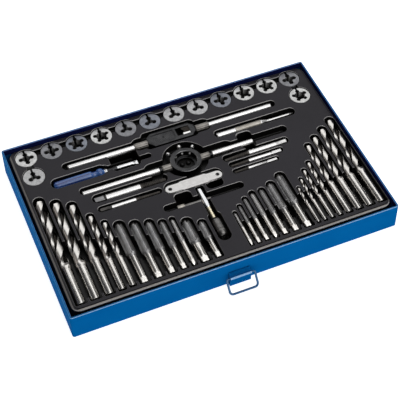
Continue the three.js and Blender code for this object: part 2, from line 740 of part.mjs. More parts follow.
function addBarWrench() {
  const { x, y, bodyLength, bodyWidth, bodyThickness, chamfer: cut } = wrench;
  const { diameter, collar, collarLength, length, screw } = wrenchHandle;
  const top = landZ + toolProud;
  const axis = top - bodyThickness / 2;
  const [side, edge] = [bodyLength / 2, bodyWidth / 2];
  const outline = [
    [-side + cut, -edge], [side - cut, -edge], [side, -edge + cut], [side, edge - cut],
    [side - cut, edge], [-side + cut, edge], [-side, edge - cut], [-side, -edge + cut],
  ].map(([px, py]) => new THREE.Vector2(px, py));
  const windowCut = prism(
    rectangle(
      wrenchWindow.x - wrenchWindow.length / 2,
      wrenchWindow.x + wrenchWindow.length / 2,
      -wrenchWindow.width / 2,
      wrenchWindow.width / 2,
    ),
    top - bodyThickness - overrun,
    top + overrun,
  );
  const block = prism(outline, top - bodyThickness, top).subtract(windowCut);
  const bar = turned([
    [0, collar - 2 * chamfer],
    [chamfer, collar],
    [collarLength, collar],
    [collarLength + chamfer, diameter],
    [length - chamfer, diameter],
    [length, diameter - 2 * chamfer],
  ]);
  const fixedBar = shifted(bar.rotate([0, 0, 90]), -side + chamfer, 0, axis);
  const screwBore = alongX(turned([[0, screw + 2 * seat], [bodyLength, screw + 2 * seat]]));
  const body = join([block, fixedBar]).subtract(shifted(screwBore, wrenchWindow.x, 0, axis));
  place("tap_wrench_body", body, darkSteel).position.set(x, y, 0);

  const jawBack = wrenchWindow.x + wrenchWindow.length / 2 - wrenchJaw.gap;
  const jawFront = jawBack - wrenchJaw.length;
  const jawSide = wrenchWindow.width / 2 - wrenchJaw.gap;
  const notch = jawSide / 2;
  const jawBlock = prism(
    [
      [jawFront, -jawSide], [jawBack, -jawSide], [jawBack, jawSide],
      [jawFront, jawSide], [jawFront, notch], [jawFront + notch / 2, 0], [jawFront, -notch],
    ].map(([px, py]) => new THREE.Vector2(px, py)),
    top - bodyThickness + wrenchJaw.gap,
    top - wrenchJaw.gap,
  );
  const screwEnd = jawBack - wrenchJaw.boreDepth;
  const jawBore = alongX(turned([[screwEnd, screw + 2 * seat], [jawBack + overrun, screw + 2 * seat]]));
  place("tap_wrench_jaw", jawBlock.subtract(shifted(jawBore, 0, 0, axis)), brightSteel)
    .position.set(x, y, 0);

  const threadEnds = [[screwEnd + seat - side, screw], [seat + chamfer, screw]];
  const thread = alongX(turned(threadEnds, screwSteps));
  const handle = join([thread, shifted(alongX(bar), seat, 0, 0)]);
  place("tap_wrench_handle", handle, brightSteel).position.set(x + side, y, axis);

  const { left, right, front, back, collarWidth, ends } = wrenchPocket;
  const reach = side + length + ends;
  slotAlong(x - reach, x + reach, y, diameter, axis);
  const collarReach = side + collarLength + endGap;
  const collarFloor = axis - collar / 2 - seat;
  slot(x - collarReach, x + collarReach, y - collarWidth / 2, y + collarWidth / 2, collarFloor);
  const bodyFloor = top - bodyThickness - seat;
  const [x0, x1] = [x - side - left, x + side + right];
  pocket(roundedRectangle(x0, x1, y - edge - front, y + edge + back, cut, slotBendSteps), bodyFloor);
}

// Die stock

function addDieStock() {
  const { x, y, ring: outer, bore, ledge, height, ledgeHeight } = stock;
  const { diameter, collar, collarLength, neck, neckLength, left, right } = stockHandle;
  const top = landZ + toolProud;
  const bottom = top - height;
  const axis = top - height / 2;
  const barOf = (reach) => {
    const start = (outer + bore) / 4;
    const face = outer / 2;
    return turned([
      [start, collar],
      [face + collarLength, collar],
      [face + collarLength + chamfer, neck],
      [face + collarLength + neckLength, neck],
      [face + collarLength + neckLength + chamfer, diameter],
      [reach - chamfer, diameter],
      [reach, diameter - 2 * chamfer],
    ]);
  };
  const ringBlock = prism(circle(0, 0, outer / 2, ringSteps), bottom, top)
    .subtract(prism(circle(0, 0, bore / 2, ringSteps), bottom + ledgeHeight, top + overrun))
    .subtract(prism(circle(0, 0, ledge / 2, ledgeSteps), bottom - overrun, top));
  const solid = join([
    ringBlock,
    shifted(alongX(barOf(right)), 0, 0, axis),
    shifted(barOf(left).rotate([0, 0, 90]), 0, 0, axis),
  ]);
  place("die_stock", solid, darkSteel).position.set(x, y, 0);
  pocket(circle(x, y, stockPocket.ring / 2, ringSteps), bottom - seat);
  slotAlong(x - left - stockPocket.end, x + left + stockPocket.end, y, diameter, axis);
  const collarSide = stockPocket.collarWidth / 2;
  const collarFloor = axis - collar / 2 - seat;
  slot(x - stockPocket.left, x + stockPocket.right, y - collarSide, y + collarSide, collarFloor);
  fingerPocket(finger.stock);
}

// T handle tap wrench

function addTeeWrench() {
  const { x, back, shaft, shaftLength } = tee;
  const { diameter: chuck, length: chuckLength, bore, boreDepth, noseShare } = teeChuck;
  const axis = roundAxisZ(chuck);
  const nose = -shaftLength - chuckLength;
  const barHole = teeBar.diameter + 2 * teeBar.clearance;
  const barBore = alongX(turned([[-chuck, barHole], [chuck, barHole]]));
  const spigot = bore - 2 * seat;
  const shaftSolid = turned([
    [nose + boreDepth + seat, spigot],
    [-shaftLength, spigot],
    [-shaftLength + chamfer, shaft],
    [-chamfer, shaft],
    [0, shaft - 2 * chamfer],
  ]).subtract(shifted(barBore, 0, -teeBar.fromBack, 0));
  place("tee_wrench_shaft", shaftSolid, brightSteel).position.set(x, back, axis);

  const chuckBody = turned([
    [nose, chuck * noseShare],
    [nose + chuck / 4, chuck],
    [-shaftLength - seat - chamfer, chuck],
    [-shaftLength - seat, chuck - 2 * chamfer],
  ]);
  const chuckBore = turned([[nose - overrun, bore], [-shaftLength + overrun, bore]]);
  place("tee_wrench_chuck", chuckBody.subtract(chuckBore), darkSteel).position.set(x, back, axis);

  const { diameter, knob, knobLength, left, right, fromBack } = teeBar;
  const barSolid = turned([
    [-left, knob - 2 * chamfer],
    [-left + chamfer, knob],
    [-left + knobLength, knob],
    [-left + knobLength + chamfer, diameter],
    [right - chamfer, diameter],
    [right, diameter - 2 * chamfer],
  ]);
  const barY = back - fromBack;
  place("tee_wrench_bar", alongX(barSolid), brightSteel).position.set(x, barY, axis);

  const side = chuck / 2 + pocketGap;
  const shaftSide = shaft / 2 + pocketGap;
  const chuckBack = back - shaftLength + chuck / 2;
  slot(x - side, x + side, back + nose - teePocket.front, chuckBack, axis - chuck / 2 - seat);
  slot(x - shaftSide, x + shaftSide, chuckBack - chuck, back + endGap, axis - shaft / 2 - seat);
  const { barReach, barWidth } = teePocket;
  slot(x - barReach, x + barReach, barY - barWidth / 2, barY + barWidth / 2, axis - knob / 2 - seat);
  fingerPocket(finger.tee);
}

// Insert: a thin tray with a skirt that stands on the drawer's floor

function insertSolid() {
  const { left, right, front, back } = insertEdge;
  const outline = (inset) =>
    roundedRectangle(
      left + inset, right - inset, front + inset, back - inset, insert.cornerRadius - inset, insertBendSteps,
    );
  const body = prism(outline(0), insertBase, landZ - insert.edgeRound);
  const crown = prism(outline(insert.edgeRound * crownShare), landZ - insert.edgeRound, landZ);
  const outer = body.add(crown);
  const hollow = prism(outline(insert.wall), insertBase - overrun, landZ - insert.edgeRound - insert.wall);
  return outer.subtract(hollow).add(join(cups).intersect(outer)).subtract(join(cuts));
}

// Assembly

place("drawer_pan", drawerPan(), paint);
place("handle_bracket", handleBracket(), paint);
place("handle_bail", handleBail(), paint);
addDies();
addDrillsAndTaps();
addScrewdriver();
addCentrePunch();
addExtractors();
addGauge();
addBarWrench();
addDieStock();
addTeeWrench();
place("tool_insert", insertSolid(), plastic);

export default root;
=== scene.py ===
"""Looks of the tap and die storage drawer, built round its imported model."""
import json
import math

import bpy
import numpy as np
from mathutils import Matrix, Vector


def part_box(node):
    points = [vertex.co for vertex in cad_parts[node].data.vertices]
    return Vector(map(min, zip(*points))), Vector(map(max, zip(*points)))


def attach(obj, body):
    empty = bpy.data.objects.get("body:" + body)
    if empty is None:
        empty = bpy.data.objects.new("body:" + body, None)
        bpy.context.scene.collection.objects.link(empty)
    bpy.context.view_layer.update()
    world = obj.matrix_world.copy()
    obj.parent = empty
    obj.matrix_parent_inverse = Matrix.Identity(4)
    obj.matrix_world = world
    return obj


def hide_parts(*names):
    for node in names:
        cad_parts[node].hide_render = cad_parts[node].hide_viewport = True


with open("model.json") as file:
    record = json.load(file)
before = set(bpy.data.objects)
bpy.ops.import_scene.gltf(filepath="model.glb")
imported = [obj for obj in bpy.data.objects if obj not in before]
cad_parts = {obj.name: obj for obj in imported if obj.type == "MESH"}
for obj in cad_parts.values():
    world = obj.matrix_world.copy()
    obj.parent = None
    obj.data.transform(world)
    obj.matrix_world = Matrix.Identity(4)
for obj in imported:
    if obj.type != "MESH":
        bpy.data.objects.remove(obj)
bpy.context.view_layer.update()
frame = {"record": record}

MM = 0.001
TAU = 2 * math.pi
QUARTER = math.pi / 2
DIAGONAL = math.sqrt(2)

# Heights and walls that several sub-parts share, in millimetres
SHEET = 1.0
LAND = 29.0
PROUD = 0.3

node_body = {
    node: body
    for body, nodes in frame["record"]["behaviour"]["bodies"].items()
    for node in nodes
}


def extent(node):
    """A CAD node's low and high corners in millimetres."""
    low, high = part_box(node)
    return np.array(low) / MM, np.array(high) / MM


def x_place(node):
    """Left and right ends of a bar along X, its middle in Y and its top."""
    low, high = extent(node)
    return low[0], high[0], (low[1] + high[1]) / 2, high[2]


def bar_place(node, diameter):
    """Middle of a bar along Y, its front and back ends and the height of its axis."""
    low, high = extent(node)
    return (low[0] + high[0]) / 2, low[1], high[1], LAND + PROUD - diameter / 2


# Materials


class Shader:
    """A Principled material, with helpers that add nodes to it."""

    def __init__(self, name, slot, **sockets):
        self.material = bpy.data.materials.new(name)
        self.material.use_nodes = True
        self.nodes = self.material.node_tree.nodes
        self.bsdf = self.nodes["Principled BSDF"]
        for socket, value in sockets.items():
            self.feed(self.bsdf, socket.replace("_", " "), value)
        self.position = self.node("TexCoord").outputs["Object"]

    def feed(self, node, socket, value):
        """Sets an input of a node, or links it where the value is another node's output."""
        if isinstance(value, bpy.types.NodeSocket):
            self.material.node_tree.links.new(value, node.inputs[socket])
        else:
            node.inputs[socket].default_value = value

    def node(self, kind, inputs=(), operation=None):
        node = self.nodes.new("ShaderNode" + kind)
        if operation:
            node.operation = operation
        for socket, value in dict(inputs).items():
            self.feed(node, socket, value)
        return node

    def noise(self, cells, detail, roughness=0.55):
        """Noise with a number of cells to a metre, the same along all axes or one for each."""
        scale = cells if isinstance(cells, tuple) else (cells, cells, cells)
        place = self.node("Mapping", {"Vector": self.position, "Scale": scale}).outputs["Vector"]
        inputs = {"Vector": place, "Scale": 1, "Detail": detail, "Roughness": roughness}
        return self.node("TexNoise", inputs).outputs["Fac"]

    def normal(self):
        return self.node("NewGeometry").outputs["Normal"]

    def part(self, vector, axis):
        return self.node("SeparateXYZ", {0: vector}).outputs[axis]

    def ranged(self, value, low, high, start=0.3, end=0.7):
        """Runs from low to high while the value goes from start to end."""
        inputs = {"Value": value, "From Min": start, "From Max": end, "To Min": low, "To Max": high}
        return self.node("MapRange", inputs).outputs["Result"]

    def multiplied(self, first, *others):
        for other in others:
            first = self.node("Math", {0: first, 1: other}, "MULTIPLY").outputs[0]
        return first

    def ramp(self, value, *stops):
        """A ramp between two colours; a stop is (place, colour)."""
        node = self.node("ValToRGB", {"Fac": value})
        for element, (place, colour) in zip(node.color_ramp.elements, stops):
            element.position = place
            element.color = (*colour, 1)
        return node.outputs["Color"]

    def mixed(self, factor, first, second):
        """The first colour where the factor is 0 and the second where it is 1."""
        node = self.nodes.new("ShaderNodeMix")
        node.data_type = "RGBA"
        self.feed(node, "Factor", factor)
        for name, value in (("A", first), ("B", second)):
            socket = [k for k, i in enumerate(node.inputs) if i.name == name and i.type == "RGBA"][0]
            self.feed(node, socket, (*value, 1) if isinstance(value, tuple) else value)
        return [output for output in node.outputs if output.type == "RGBA"][0]

    def edge_highlight(self, width, most):
        """Rises from 0 on flat faces to the most on edges that stick out."""
        bevel = self.node("Bevel", {"Radius": width})
        bevel.samples = 4
        likeness = self.node("VectorMath", {0: bevel.outputs["Normal"], 1: self.normal()}, "DOT_PRODUCT")
        return self.ranged(likeness.outputs["Value"], most, 0, 0.8, 0.99)

    def set(self, socket, output):
        self.feed(self.bsdf, socket, output)

    def bump(self, height, distance, strength):
        node = self.node("Bump", {"Height": height, "Distance": distance, "Strength": strength})
        self.set("Normal", node.outputs["Normal"])


# Colour of the painted highlight on faces that tilt up and face the front
CREST_HIGHLIGHT = (0.32, 0.60, 1.0)


def painted(name, dark, light, tint, gloss=1.0):
    """Powder coat: a slow drift of colour, orange peel, and painted highlights: paler on edges and on faces
    that tilt up, and a bluer highlight with a real gloss coat on those that face the front.
    """
    shader = Shader(
        name, "blue_paint",
        Specular_IOR_Level=0.0001, Specular_Tint=(*tint, 1), Coat_IOR=2.0, Coat_Roughness=0.16,
    )
    body = shader.ramp(shader.noise(18, detail=2), (0.3, dark), (0.7, light))
    # paler is the colour of the painted highlight on edges and on faces that tilt up
    paler = tuple(0.4 * part + 0.6 * top for part, top in zip(light, tint))
    normal = shader.normal()
    facing = shader.part(normal, "Z")
    # fold: faces tilted between up and sideways, which are lightened as a painted highlight
    fold = shader.multiplied(shader.ranged(facing, 0, 1, 0.2, 0.5), shader.ranged(facing, 1, 0, 0.85, 0.97))
    # crest: those folds that face the front; they take the painted highlight colour and a real gloss coat
    crest = shader.multiplied(fold, shader.ranged(shader.part(normal, "Y"), gloss, 0, -0.6, -0.35))
    folded = shader.mixed(crest, shader.mixed(fold, body, paler), CREST_HIGHLIGHT)
    shader.set("Coat Weight", crest)
    # Edges that stick out are lightened too, as a painted highlight
    shader.set("Base Color", shader.mixed(shader.edge_highlight(0.4 * MM, 0.6), folded, paler))
    peel = shader.noise(700, detail=1)
    shader.set("Roughness", shader.ranged(peel, 0.26, 0.36))
    shader.bump(peel, 0.02 * MM, 0.3)
    return shader.material


# Colours of the painted highlights on the insert's lip and on its pocket rims
LIP_HIGHLIGHT = (0.43, 0.40, 0.36)
RIM_HIGHLIGHT = (0.80, 0.78, 0.77)
LIP_WIDTH = 2.1


def moulded_plastic():
    """Black satin plastic: a grey land, pockets and walls below it darkened as painted shade, a pale painted
    highlight on the lip along the front and left, and a painted highlight on rounded rims, strongest on those
    that face the front.
    """
    shader = Shader("insert_black_plastic", "black_plastic", Specular_IOR_Level=0.3)
    cloud = shader.noise(14, detail=4)
    grain = shader.noise(1600, detail=2)
    low, _ = extent("tool_insert")
    normal = shader.normal()
    facing = shader.part(normal, "Z")
    near_land = shader.ranged(
        shader.part(shader.position, "Z"), 0, 1, (LAND - 2.2) * MM, (LAND - 0.6) * MM,
    )
    # Rims just below the land, most those facing the front, lightened as a painted highlight
    rim = shader.multiplied(
        shader.ranged(facing, 0, 1, 0.25, 0.5), shader.ranged(facing, 1, 0, 0.86, 0.985), near_land,
        shader.ranged(shader.part(normal, "Y"), 1, 0.16, -0.45, -0.1),
    )
    # Lightens the lip along the front, and less along the left, as a painted highlight
    off_lip_highlight = shader.multiplied(*[
        shader.ranged(
            shader.part(shader.position, axis), least, 1,
            (edge + LIP_WIDTH) * MM, (edge + LIP_WIDTH + 0.4) * MM,
        )
        for axis, edge, least in (("X", low[0], 0.6), ("Y", low[1], 0))
    ])
    land = shader.ramp(cloud, (0.3, (0.0168, 0.0148, 0.0202)), (0.7, (0.0245, 0.0216, 0.0292)))
    # Pockets and walls below the land are darkened as painted shade
    pocket = shader.ramp(cloud, (0.3, (0.0035, 0.0032, 0.0030)), (0.7, (0.0065, 0.006, 0.0055)))
    top = shader.mixed(off_lip_highlight, LIP_HIGHLIGHT, land)
    body = shader.mixed(shader.multiplied(near_land, shader.ranged(facing, 0, 1, 0.5, 0.9)), pocket, top)
    shader.set("Base Color", shader.mixed(shader.ranged(rim, 0, 0.9, 0, 1), body, RIM_HIGHLIGHT))
    shader.set("Roughness", shader.ranged(grain, 0.32, 0.44))
    shader.bump(grain, 0.02 * MM, 0.35)
    return shader.material


def metal(name, slot, dark, light, roughness):
    """Ground steel: a fine grain that varies its gloss, under slow stains."""
    shader = Shader(name, slot, Metallic=1.0)
    stain = shader.noise(160, detail=4)
    grain = shader.noise(5000, detail=2)
    shader.set("Base Color", shader.ramp(stain, (0.32, dark), (0.62, light)))
    shader.set("Roughness", shader.ranged(grain, *roughness))
    shader.bump(grain, 0.0002 * MM, 0.5)
    return shader.material


def blasted(name, slot, dark, light, spots, roughness):
    """The matt, speckled face of a hardened die: steel under small dark heat spots."""
    shader = Shader(name, slot, Metallic=0.85)
    stain = shader.noise(260, detail=5, roughness=0.65)
    speck = shader.noise(1500, detail=3)
    body = shader.ramp(stain, (0.35, dark), (0.6, light))
    shader.set("Base Color", shader.mixed(shader.ranged(speck, 0, 0.55, 0.52, 0.68), body, spots))
    shader.set("Roughness", shader.ranged(speck, *roughness))
    shader.bump(speck, 0.008 * MM, 0.5)
    return shader.material


def clear_blue_plastic():
    """Deep blue see-through handle plastic with faint flow lines."""
    shader = Shader(
        "handle_blue_plastic", "blue_plastic",
        Transmission_Weight=0.1, IOR=1.5, Coat_Weight=1.0, Coat_Roughness=0.06,
    )
    flow = shader.noise((25, 420, 420), detail=2)
    shader.set("Base Color", shader.ramp(flow, (0.36, (0.012, 0.040, 0.24)), (0.64, (0.10, 0.25, 0.66))))
    shader.set("Roughness", shader.ranged(flow, 0.14, 0.26))
    return shader.material


# Each finish: its name, slot, dark and light colour, colour of its tint (for paint, also of its painted
# highlights) or spots, and roughness, or for paint the strength of its gloss coat and painted front highlight
PAINT = painted("drawer_blue_paint", (0.0008, 0.118, 0.37), (0.0012, 0.135, 0.41), (0.18, 0.55, 1.0))
# Navy for the pan's inside faces: the same blue darkened as painted shade
PAINT_INSIDE_SHADE = painted("drawer_inner_shade_paint", (0.007, 0.011, 0.075), (0.010, 0.016, 0.10), (0.2, 0.3, 0.9), 0)
# Darker blue without the front highlight: painted shade on the bracket's upper slope and back
PAINT_SHADE = painted(
    "bracket_shade_paint", (0.0008, 0.095, 0.31), (0.0012, 0.11, 0.35), (0.002, 0.14, 0.42), 0,
)
BAIL_PAINT = painted("bail_blue_paint", (0.006, 0.070, 0.19), (0.010, 0.090, 0.23), (0.10, 0.24, 0.46), 0.12)
PLASTIC = moulded_plastic()
BRIGHT = metal("tool_bright_steel", "bright_steel", (0.84, 0.81, 0.77), (0.91, 0.89, 0.85), (0.20, 0.25))
BAR_BRIGHT = metal("bar_bright_steel", "bright_steel", (0.85, 0.84, 0.83), (0.92, 0.91, 0.90), (0.24, 0.30))
FLUTED = metal("drill_flute_steel", "bright_steel", (0.84, 0.81, 0.77), (0.91, 0.88, 0.84), (0.27, 0.33))
# Near black steel: painted shade inside the drills' flutes and on their points; the sliding jaw is made of it
# too
FLUTE_DARK = metal(
    "drill_groove_steel", "dark_steel", (0.022, 0.019, 0.016), (0.036, 0.032, 0.028), (0.22, 0.30),
)
GREY = metal("tap_grey_steel", "grey_steel", (0.40, 0.395, 0.395), (0.52, 0.515, 0.515), (0.36, 0.45))
PALE = metal("tap_pale_steel", "bright_steel", (0.62, 0.61, 0.60), (0.72, 0.71, 0.70), (0.36, 0.44))
SPIRAL = metal("extractor_dark_steel", "grey_steel", (0.075, 0.068, 0.063), (0.12, 0.11, 0.10), (0.36, 0.46))
SQUARED = metal("extractor_square_steel", "grey_steel", (0.32, 0.32, 0.325), (0.42, 0.42, 0.425), (0.40, 0.5))
DIE_WALL = metal("die_wall_steel", "grey_steel", (0.24, 0.235, 0.23), (0.36, 0.355, 0.35), (0.40, 0.52))
DIE_BORE = metal("die_bore_steel", "dark_steel", (0.060, 0.058, 0.055), (0.12, 0.115, 0.11), (0.36, 0.48))
CHROME = metal("chrome_plate", "chrome_plate", (0.84, 0.85, 0.86), (0.92, 0.93, 0.94), (0.14, 0.2))
BRASSY = metal("shaft_warm_steel", "chrome_plate", (0.74, 0.67, 0.48), (0.86, 0.80, 0.62), (0.22, 0.3))
COLLAR = metal("collar_brown_steel", "grey_steel", (0.26, 0.245, 0.225), (0.36, 0.342, 0.318), (0.32, 0.42))
KNURLED = metal("knurled_steel", "grey_steel", (0.40, 0.375, 0.335), (0.54, 0.51, 0.46), (0.36, 0.46))
OILED = metal("oiled_dark_steel", "dark_steel", (0.14, 0.135, 0.13), (0.21, 0.204, 0.198), (0.24, 0.34))
BLACKENED = metal("blackened_steel", "dark_steel", (0.042, 0.042, 0.044), (0.07, 0.07, 0.072), (0.22, 0.32))
# Lighter steel: a painted highlight on the die stock ring's top edges
EDGE_HIGHLIGHT = metal("edge_highlight_steel", "grey_steel", (0.26, 0.26, 0.265), (0.40, 0.40, 0.405), (0.30, 0.40))
DIE_BRIGHT = blasted(
    "die_bright_steel", "bright_steel",
    (0.64, 0.64, 0.63), (0.84, 0.84, 0.83), (0.36, 0.36, 0.37), (0.36, 0.5),
)
DIE_SATIN = blasted(
    "die_satin_steel", "bright_steel",
    (0.47, 0.47, 0.475), (0.63, 0.63, 0.635), (0.24, 0.24, 0.25), (0.36, 0.5),
)
DIE_GREY = blasted(
    "die_grey_steel", "grey_steel",
    (0.26, 0.262, 0.277), (0.36, 0.363, 0.384), (0.15, 0.152, 0.16), (0.36, 0.5),
)
DIE_BLUED = blasted(
    "die_blued_steel", "blued_steel",
    (0.22, 0.235, 0.27), (0.31, 0.328, 0.372), (0.13, 0.14, 0.17), (0.34, 0.48),
)
SATIN = blasted(
    "gauge_plate_steel", "bright_steel",
    (0.78, 0.77, 0.755), (0.90, 0.89, 0.875), (0.64, 0.63, 0.62), (0.4, 0.52),
)
BLUE_HANDLE = clear_blue_plastic()


# Meshes

def outward(points, faces):
    """Points and faces with every face turned outwards."""
    points = np.asarray(points, float)
    volume = 0
    for face in faces:
        first, rest = points[face[0]], points[list(face[1:])]
        corners = np.broadcast_to(first, rest[1:].shape)
        volume += np.einsum("ij,ij->i", np.cross(rest[:-1], rest[1:]), corners).sum()
    return points, faces if volume > 0 else [tuple(face)[::-1] for face in faces]


def mesh_of(shape):
    """A Blender mesh from points in millimetres and faces."""
    points, faces = outward(*shape)
    mesh = bpy.data.meshes.new("solid")
    mesh.from_pydata([tuple(p) for p in points * MM], [], faces)
    mesh.validate()
    return mesh


def shifted(mesh, x, y):
    """A mesh moved over the ground, in millimetres."""
    mesh.transform(Matrix.Translation((x * MM, y * MM, 0)))
    return mesh


def add_object(name, data):
    item = bpy.data.objects.new(name, data)
    bpy.context.scene.collection.objects.link(item)
    return item


def baked(shape, *steps):
    """One closed mesh: a shape with others joined to it, cut from it or met with it, in turn."""
    body = add_object("body", mesh_of(shape))
    others = []
    for operation, other in steps:
        item = add_object("other", mesh_of(other))
        others.append(item)
        modifier = body.modifiers.new("solid", "BOOLEAN")
        modifier.solver = "MANIFOLD"
        modifier.operation = operation
        modifier.object = item
    mesh = bpy.data.meshes.new_from_object(body.evaluated_get(bpy.context.evaluated_depsgraph_get()))
    for item in [body, *others]:
        bpy.data.objects.remove(item)
    return mesh


def carved(shape, *cutters):
    return baked(shape, *[("DIFFERENCE", cutter) for cutter in cutters])


def add_piece(name, shape, material, node, sharp=38, replaces=True, bevel=0.0, flat=False):
    """A piece that rides with a CAD node's body and, unless told otherwise, stands for that node."""
    mesh = shape if isinstance(shape, bpy.types.Mesh) else mesh_of(shape)
    mesh.name = name
    mesh.materials.clear()
    mesh.materials.append(material)
    mesh.shade_smooth()
    mesh.set_sharp_from_angle(angle=math.radians(sharp))
    piece = add_object(name, mesh)
    if bevel:
        rounded = piece.modifiers.new("rounded_edges", "BEVEL")
        rounded.width = bevel * MM
        rounded.segments = 2
        rounded.limit_method = "ANGLE"
        rounded.angle_limit = math.radians(sharp)
    if flat:
        even = piece.modifiers.new("flat_faces", "WEIGHTED_NORMAL")
        even.keep_sharp = True
        even.weight = 100
    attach(piece, node_body[node])
    if replaces:
        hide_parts(node)
    return piece


def paint_faces(piece, material, chosen):
    """Gives a piece a further material on the faces chosen by their number and middle."""
    piece.data.materials.append(material)
    index = len(piece.data.materials) - 1
    for number, face in enumerate(piece.data.polygons):
        if chosen(number, face.center / MM):
            face.material_index = index


def second_material(piece, material, chosen):
    """Gives a piece a further material on the faces whose middle, in millimetres, is chosen."""
    paint_faces(piece, material, lambda _, middle: chosen(*middle))


def skin(rings):
    """Points and faces of a closed skin over rings, an array of ring, point and coordinate."""
    count, sides = rings.shape[:2]
    faces = []
    for r in range(count - 1):
        for k in range(sides):
            a, b = r * sides + k, r * sides + (k + 1) % sides
            faces.append((a, b, b + sides, a + sides))
    faces.append(tuple(range(sides))[::-1])
    faces.append(tuple(range((count - 1) * sides, count * sides)))
    return rings.reshape(-1, 3), faces


def circle(sides):
    """Angles of points set evenly round a circle."""
    return np.linspace(0, TAU, sides, endpoint=False)


def bend(count, point, end=QUARTER):
    """Points round a bend, each made from the sine and cosine of its angle."""
    return [point(math.sin(turn), math.cos(turn)) for turn in np.linspace(0, end, count)]


def bar_rings(places, radii, angles):
    """Rings along +Y: radii[ring, point] at the angles about the axis, counted from +Z towards +X."""
    rings = np.empty((*radii.shape, 3))
    rings[..., 0] = radii * np.sin(angles)
    rings[..., 1] = np.asarray(places)[:, None]
    rings[..., 2] = radii * np.cos(angles)
    return rings


def softened(profile, radius, steps=4):
    """A list of (position, diameter) with its corners rounded."""
    corners = [np.array((at, diameter / 2), float) for at, diameter in profile]
    rounded = [corners[0]]
    for before, corner, after in zip(corners, corners[1:], corners[2:]):
        back, on = before - corner, after - corner
        lengths = np.linalg.norm(back), np.linalg.norm(on)
        reach = min(radius, lengths[0] / 2, lengths[1] / 2)
        start, end = corner + back / lengths[0] * reach, corner + on / lengths[1] * reach
        for share in np.linspace(0, 1, steps + 1):
            rounded.append((1 - share) ** 2 * start + 2 * share * (1 - share) * corner + share ** 2 * end)
    rounded.append(corners[-1])
    return [(at, 2 * half) for at, half in rounded]


def capped(*profile):
    """A bar's profile whose two end faces run in to its axis, so that their edges can be softened."""
    return [(profile[0][0], 0.4), *profile, (profile[-1][0], 0.4)]


def turned(profile, sides=48, soft=0.0):
    """A turned bar along +Y from a list of (position, diameter)."""
    profile = softened(profile, soft) if soft else profile
    places = [at for at, _ in profile]
    radii = np.repeat(np.array([[diameter / 2] for _, diameter in profile]), sides, axis=1)
    return skin(bar_rings(places, radii, circle(sides)))


def ring_lathe(loop, sides=96):
    """A closed ring about the Z axis from a loop of (radius, height)."""
    points = np.array([
        (radius * math.cos(angle), radius * math.sin(angle), height)
        for angle in circle(sides) for radius, height in loop
    ])
    count = len(loop)
    faces = []
    for s in range(sides):
        for k in range(count):
            a, b = s * count + k, s * count + (k + 1) % count
            c, d = (s + 1) % sides * count + k, (s + 1) % sides * count + (k + 1) % count
            faces.append((a, b, d, c))
    return points, faces


def moved(shape, x=0, y=0, z=0):
    points, faces = shape
    return points + (x, y, z), faces


def along_x(shape, flip=False):
    """Turns a bar that runs along +Y so that it runs along +X, or along -X when flipped."""
    points, faces = shape
    way = -1 if flip else 1
    return np.stack([way * points[:, 1], -way * points[:, 0], points[:, 2]], axis=1), faces


def merged(*parts):
    """Several (points, faces) as one."""
    points, faces, start = [], [], 0
    for part_points, part_faces in parts:
        points.append(part_points)
        faces += [tuple(k + start for k in face) for face in part_faces]
        start += len(part_points)
    return np.concatenate(points), faces


def at_height(outline, z):
    return np.column_stack([outline, np.full(len(outline), z)])


def plate(outline, low, high):
    """An outline in the XY plane raised between two heights."""
    outline = np.asarray(outline, float)
    count = len(outline)
    faces = [tuple(range(count))[::-1], tuple(range(count, 2 * count))]
    faces += [(k, (k + 1) % count, count + (k + 1) % count, count + k) for k in range(count)]
    return np.concatenate([at_height(outline, low), at_height(outline, high)]), faces


def drawn_along_x(profile, x0, x1):
    """A profile of (y, z) points drawn out along X."""
    points, faces = plate(profile, x0, x1)
    return points[:, [2, 0, 1]], faces


def arc(x, y, radius, start, end, steps):
    turn = np.linspace(start, end, steps + 1)
    return np.column_stack([x + radius * np.cos(turn), y + radius * np.sin(turn)])


def box(x0, x1, y0, y1, z0, z1):
    return plate([(x0, y0), (x1, y0), (x1, y1), (x0, y1)], z0, z1)


def round_outline(x, y, radius, sides):
    return arc(x, y, radius, 0, TAU * (1 - 1 / sides), sides - 1)


def post(x, y, diameter, low, high, sides=32):
    """A round post along Z."""
    return plate(round_outline(x, y, diameter / 2, sides), low, high)


def x_bore(x0, x1, diameter, y, z):
    """A cutter for a round hole along X."""
    return moved(along_x(turned([(x0, diameter), (x1, diameter)])), 0, y, z)


def corner_loop(x0, x1, y0, y1, radii, steps):
    """Points round a rectangle whose corners, from the front right one on, have their own radii."""
    corners = [(x1, y0, -1, 1), (x1, y1, -1, -1), (x0, y1, 1, -1), (x0, y0, 1, 1)]
    return np.concatenate([
        arc(x + sx * radius, y + sy * radius, radius, (k - 1) * math.pi / 2, k * math.pi / 2, steps)
        for k, ((x, y, sx, sy), radius) in enumerate(zip(corners, radii))
    ])


def stacked(levels, steps):
    """A solid through level outlines; a level is its height, its four sides and its corners' radii."""
    least = 0.05
    return skin(np.array([
        at_height(corner_loop(*sides, [max(radius, least) for radius in radii], steps), z)
        for z, sides, radii in levels
    ]))


def spread(sides, amount):
    """The four sides of a rectangle moved outwards."""
    x0, x1, y0, y1 = sides
    return x0 - amount, x1 + amount, y0 - amount, y1 + amount


def grown(sides, radii, amount):
    """Sides and corner radii of a rounded rectangle moved outwards."""
    return spread(sides, amount), [radius + amount for radius in radii]


def tube(path, normal, diameter, sides=20):
    """A wire swept along a path that lies in the plane with the given normal."""
    path = np.asarray(path, float)
    ways = np.gradient(path, axis=0)
    ways /= np.linalg.norm(ways, axis=1)[:, None]
    across = np.cross(normal, ways)
    turn = circle(sides)[None, :, None]
    ring = across[:, None] * np.cos(turn) + np.asarray(normal)[None, None] * np.sin(turn)
    return skin(path[:, None] + ring * diameter / 2)


# Drawer

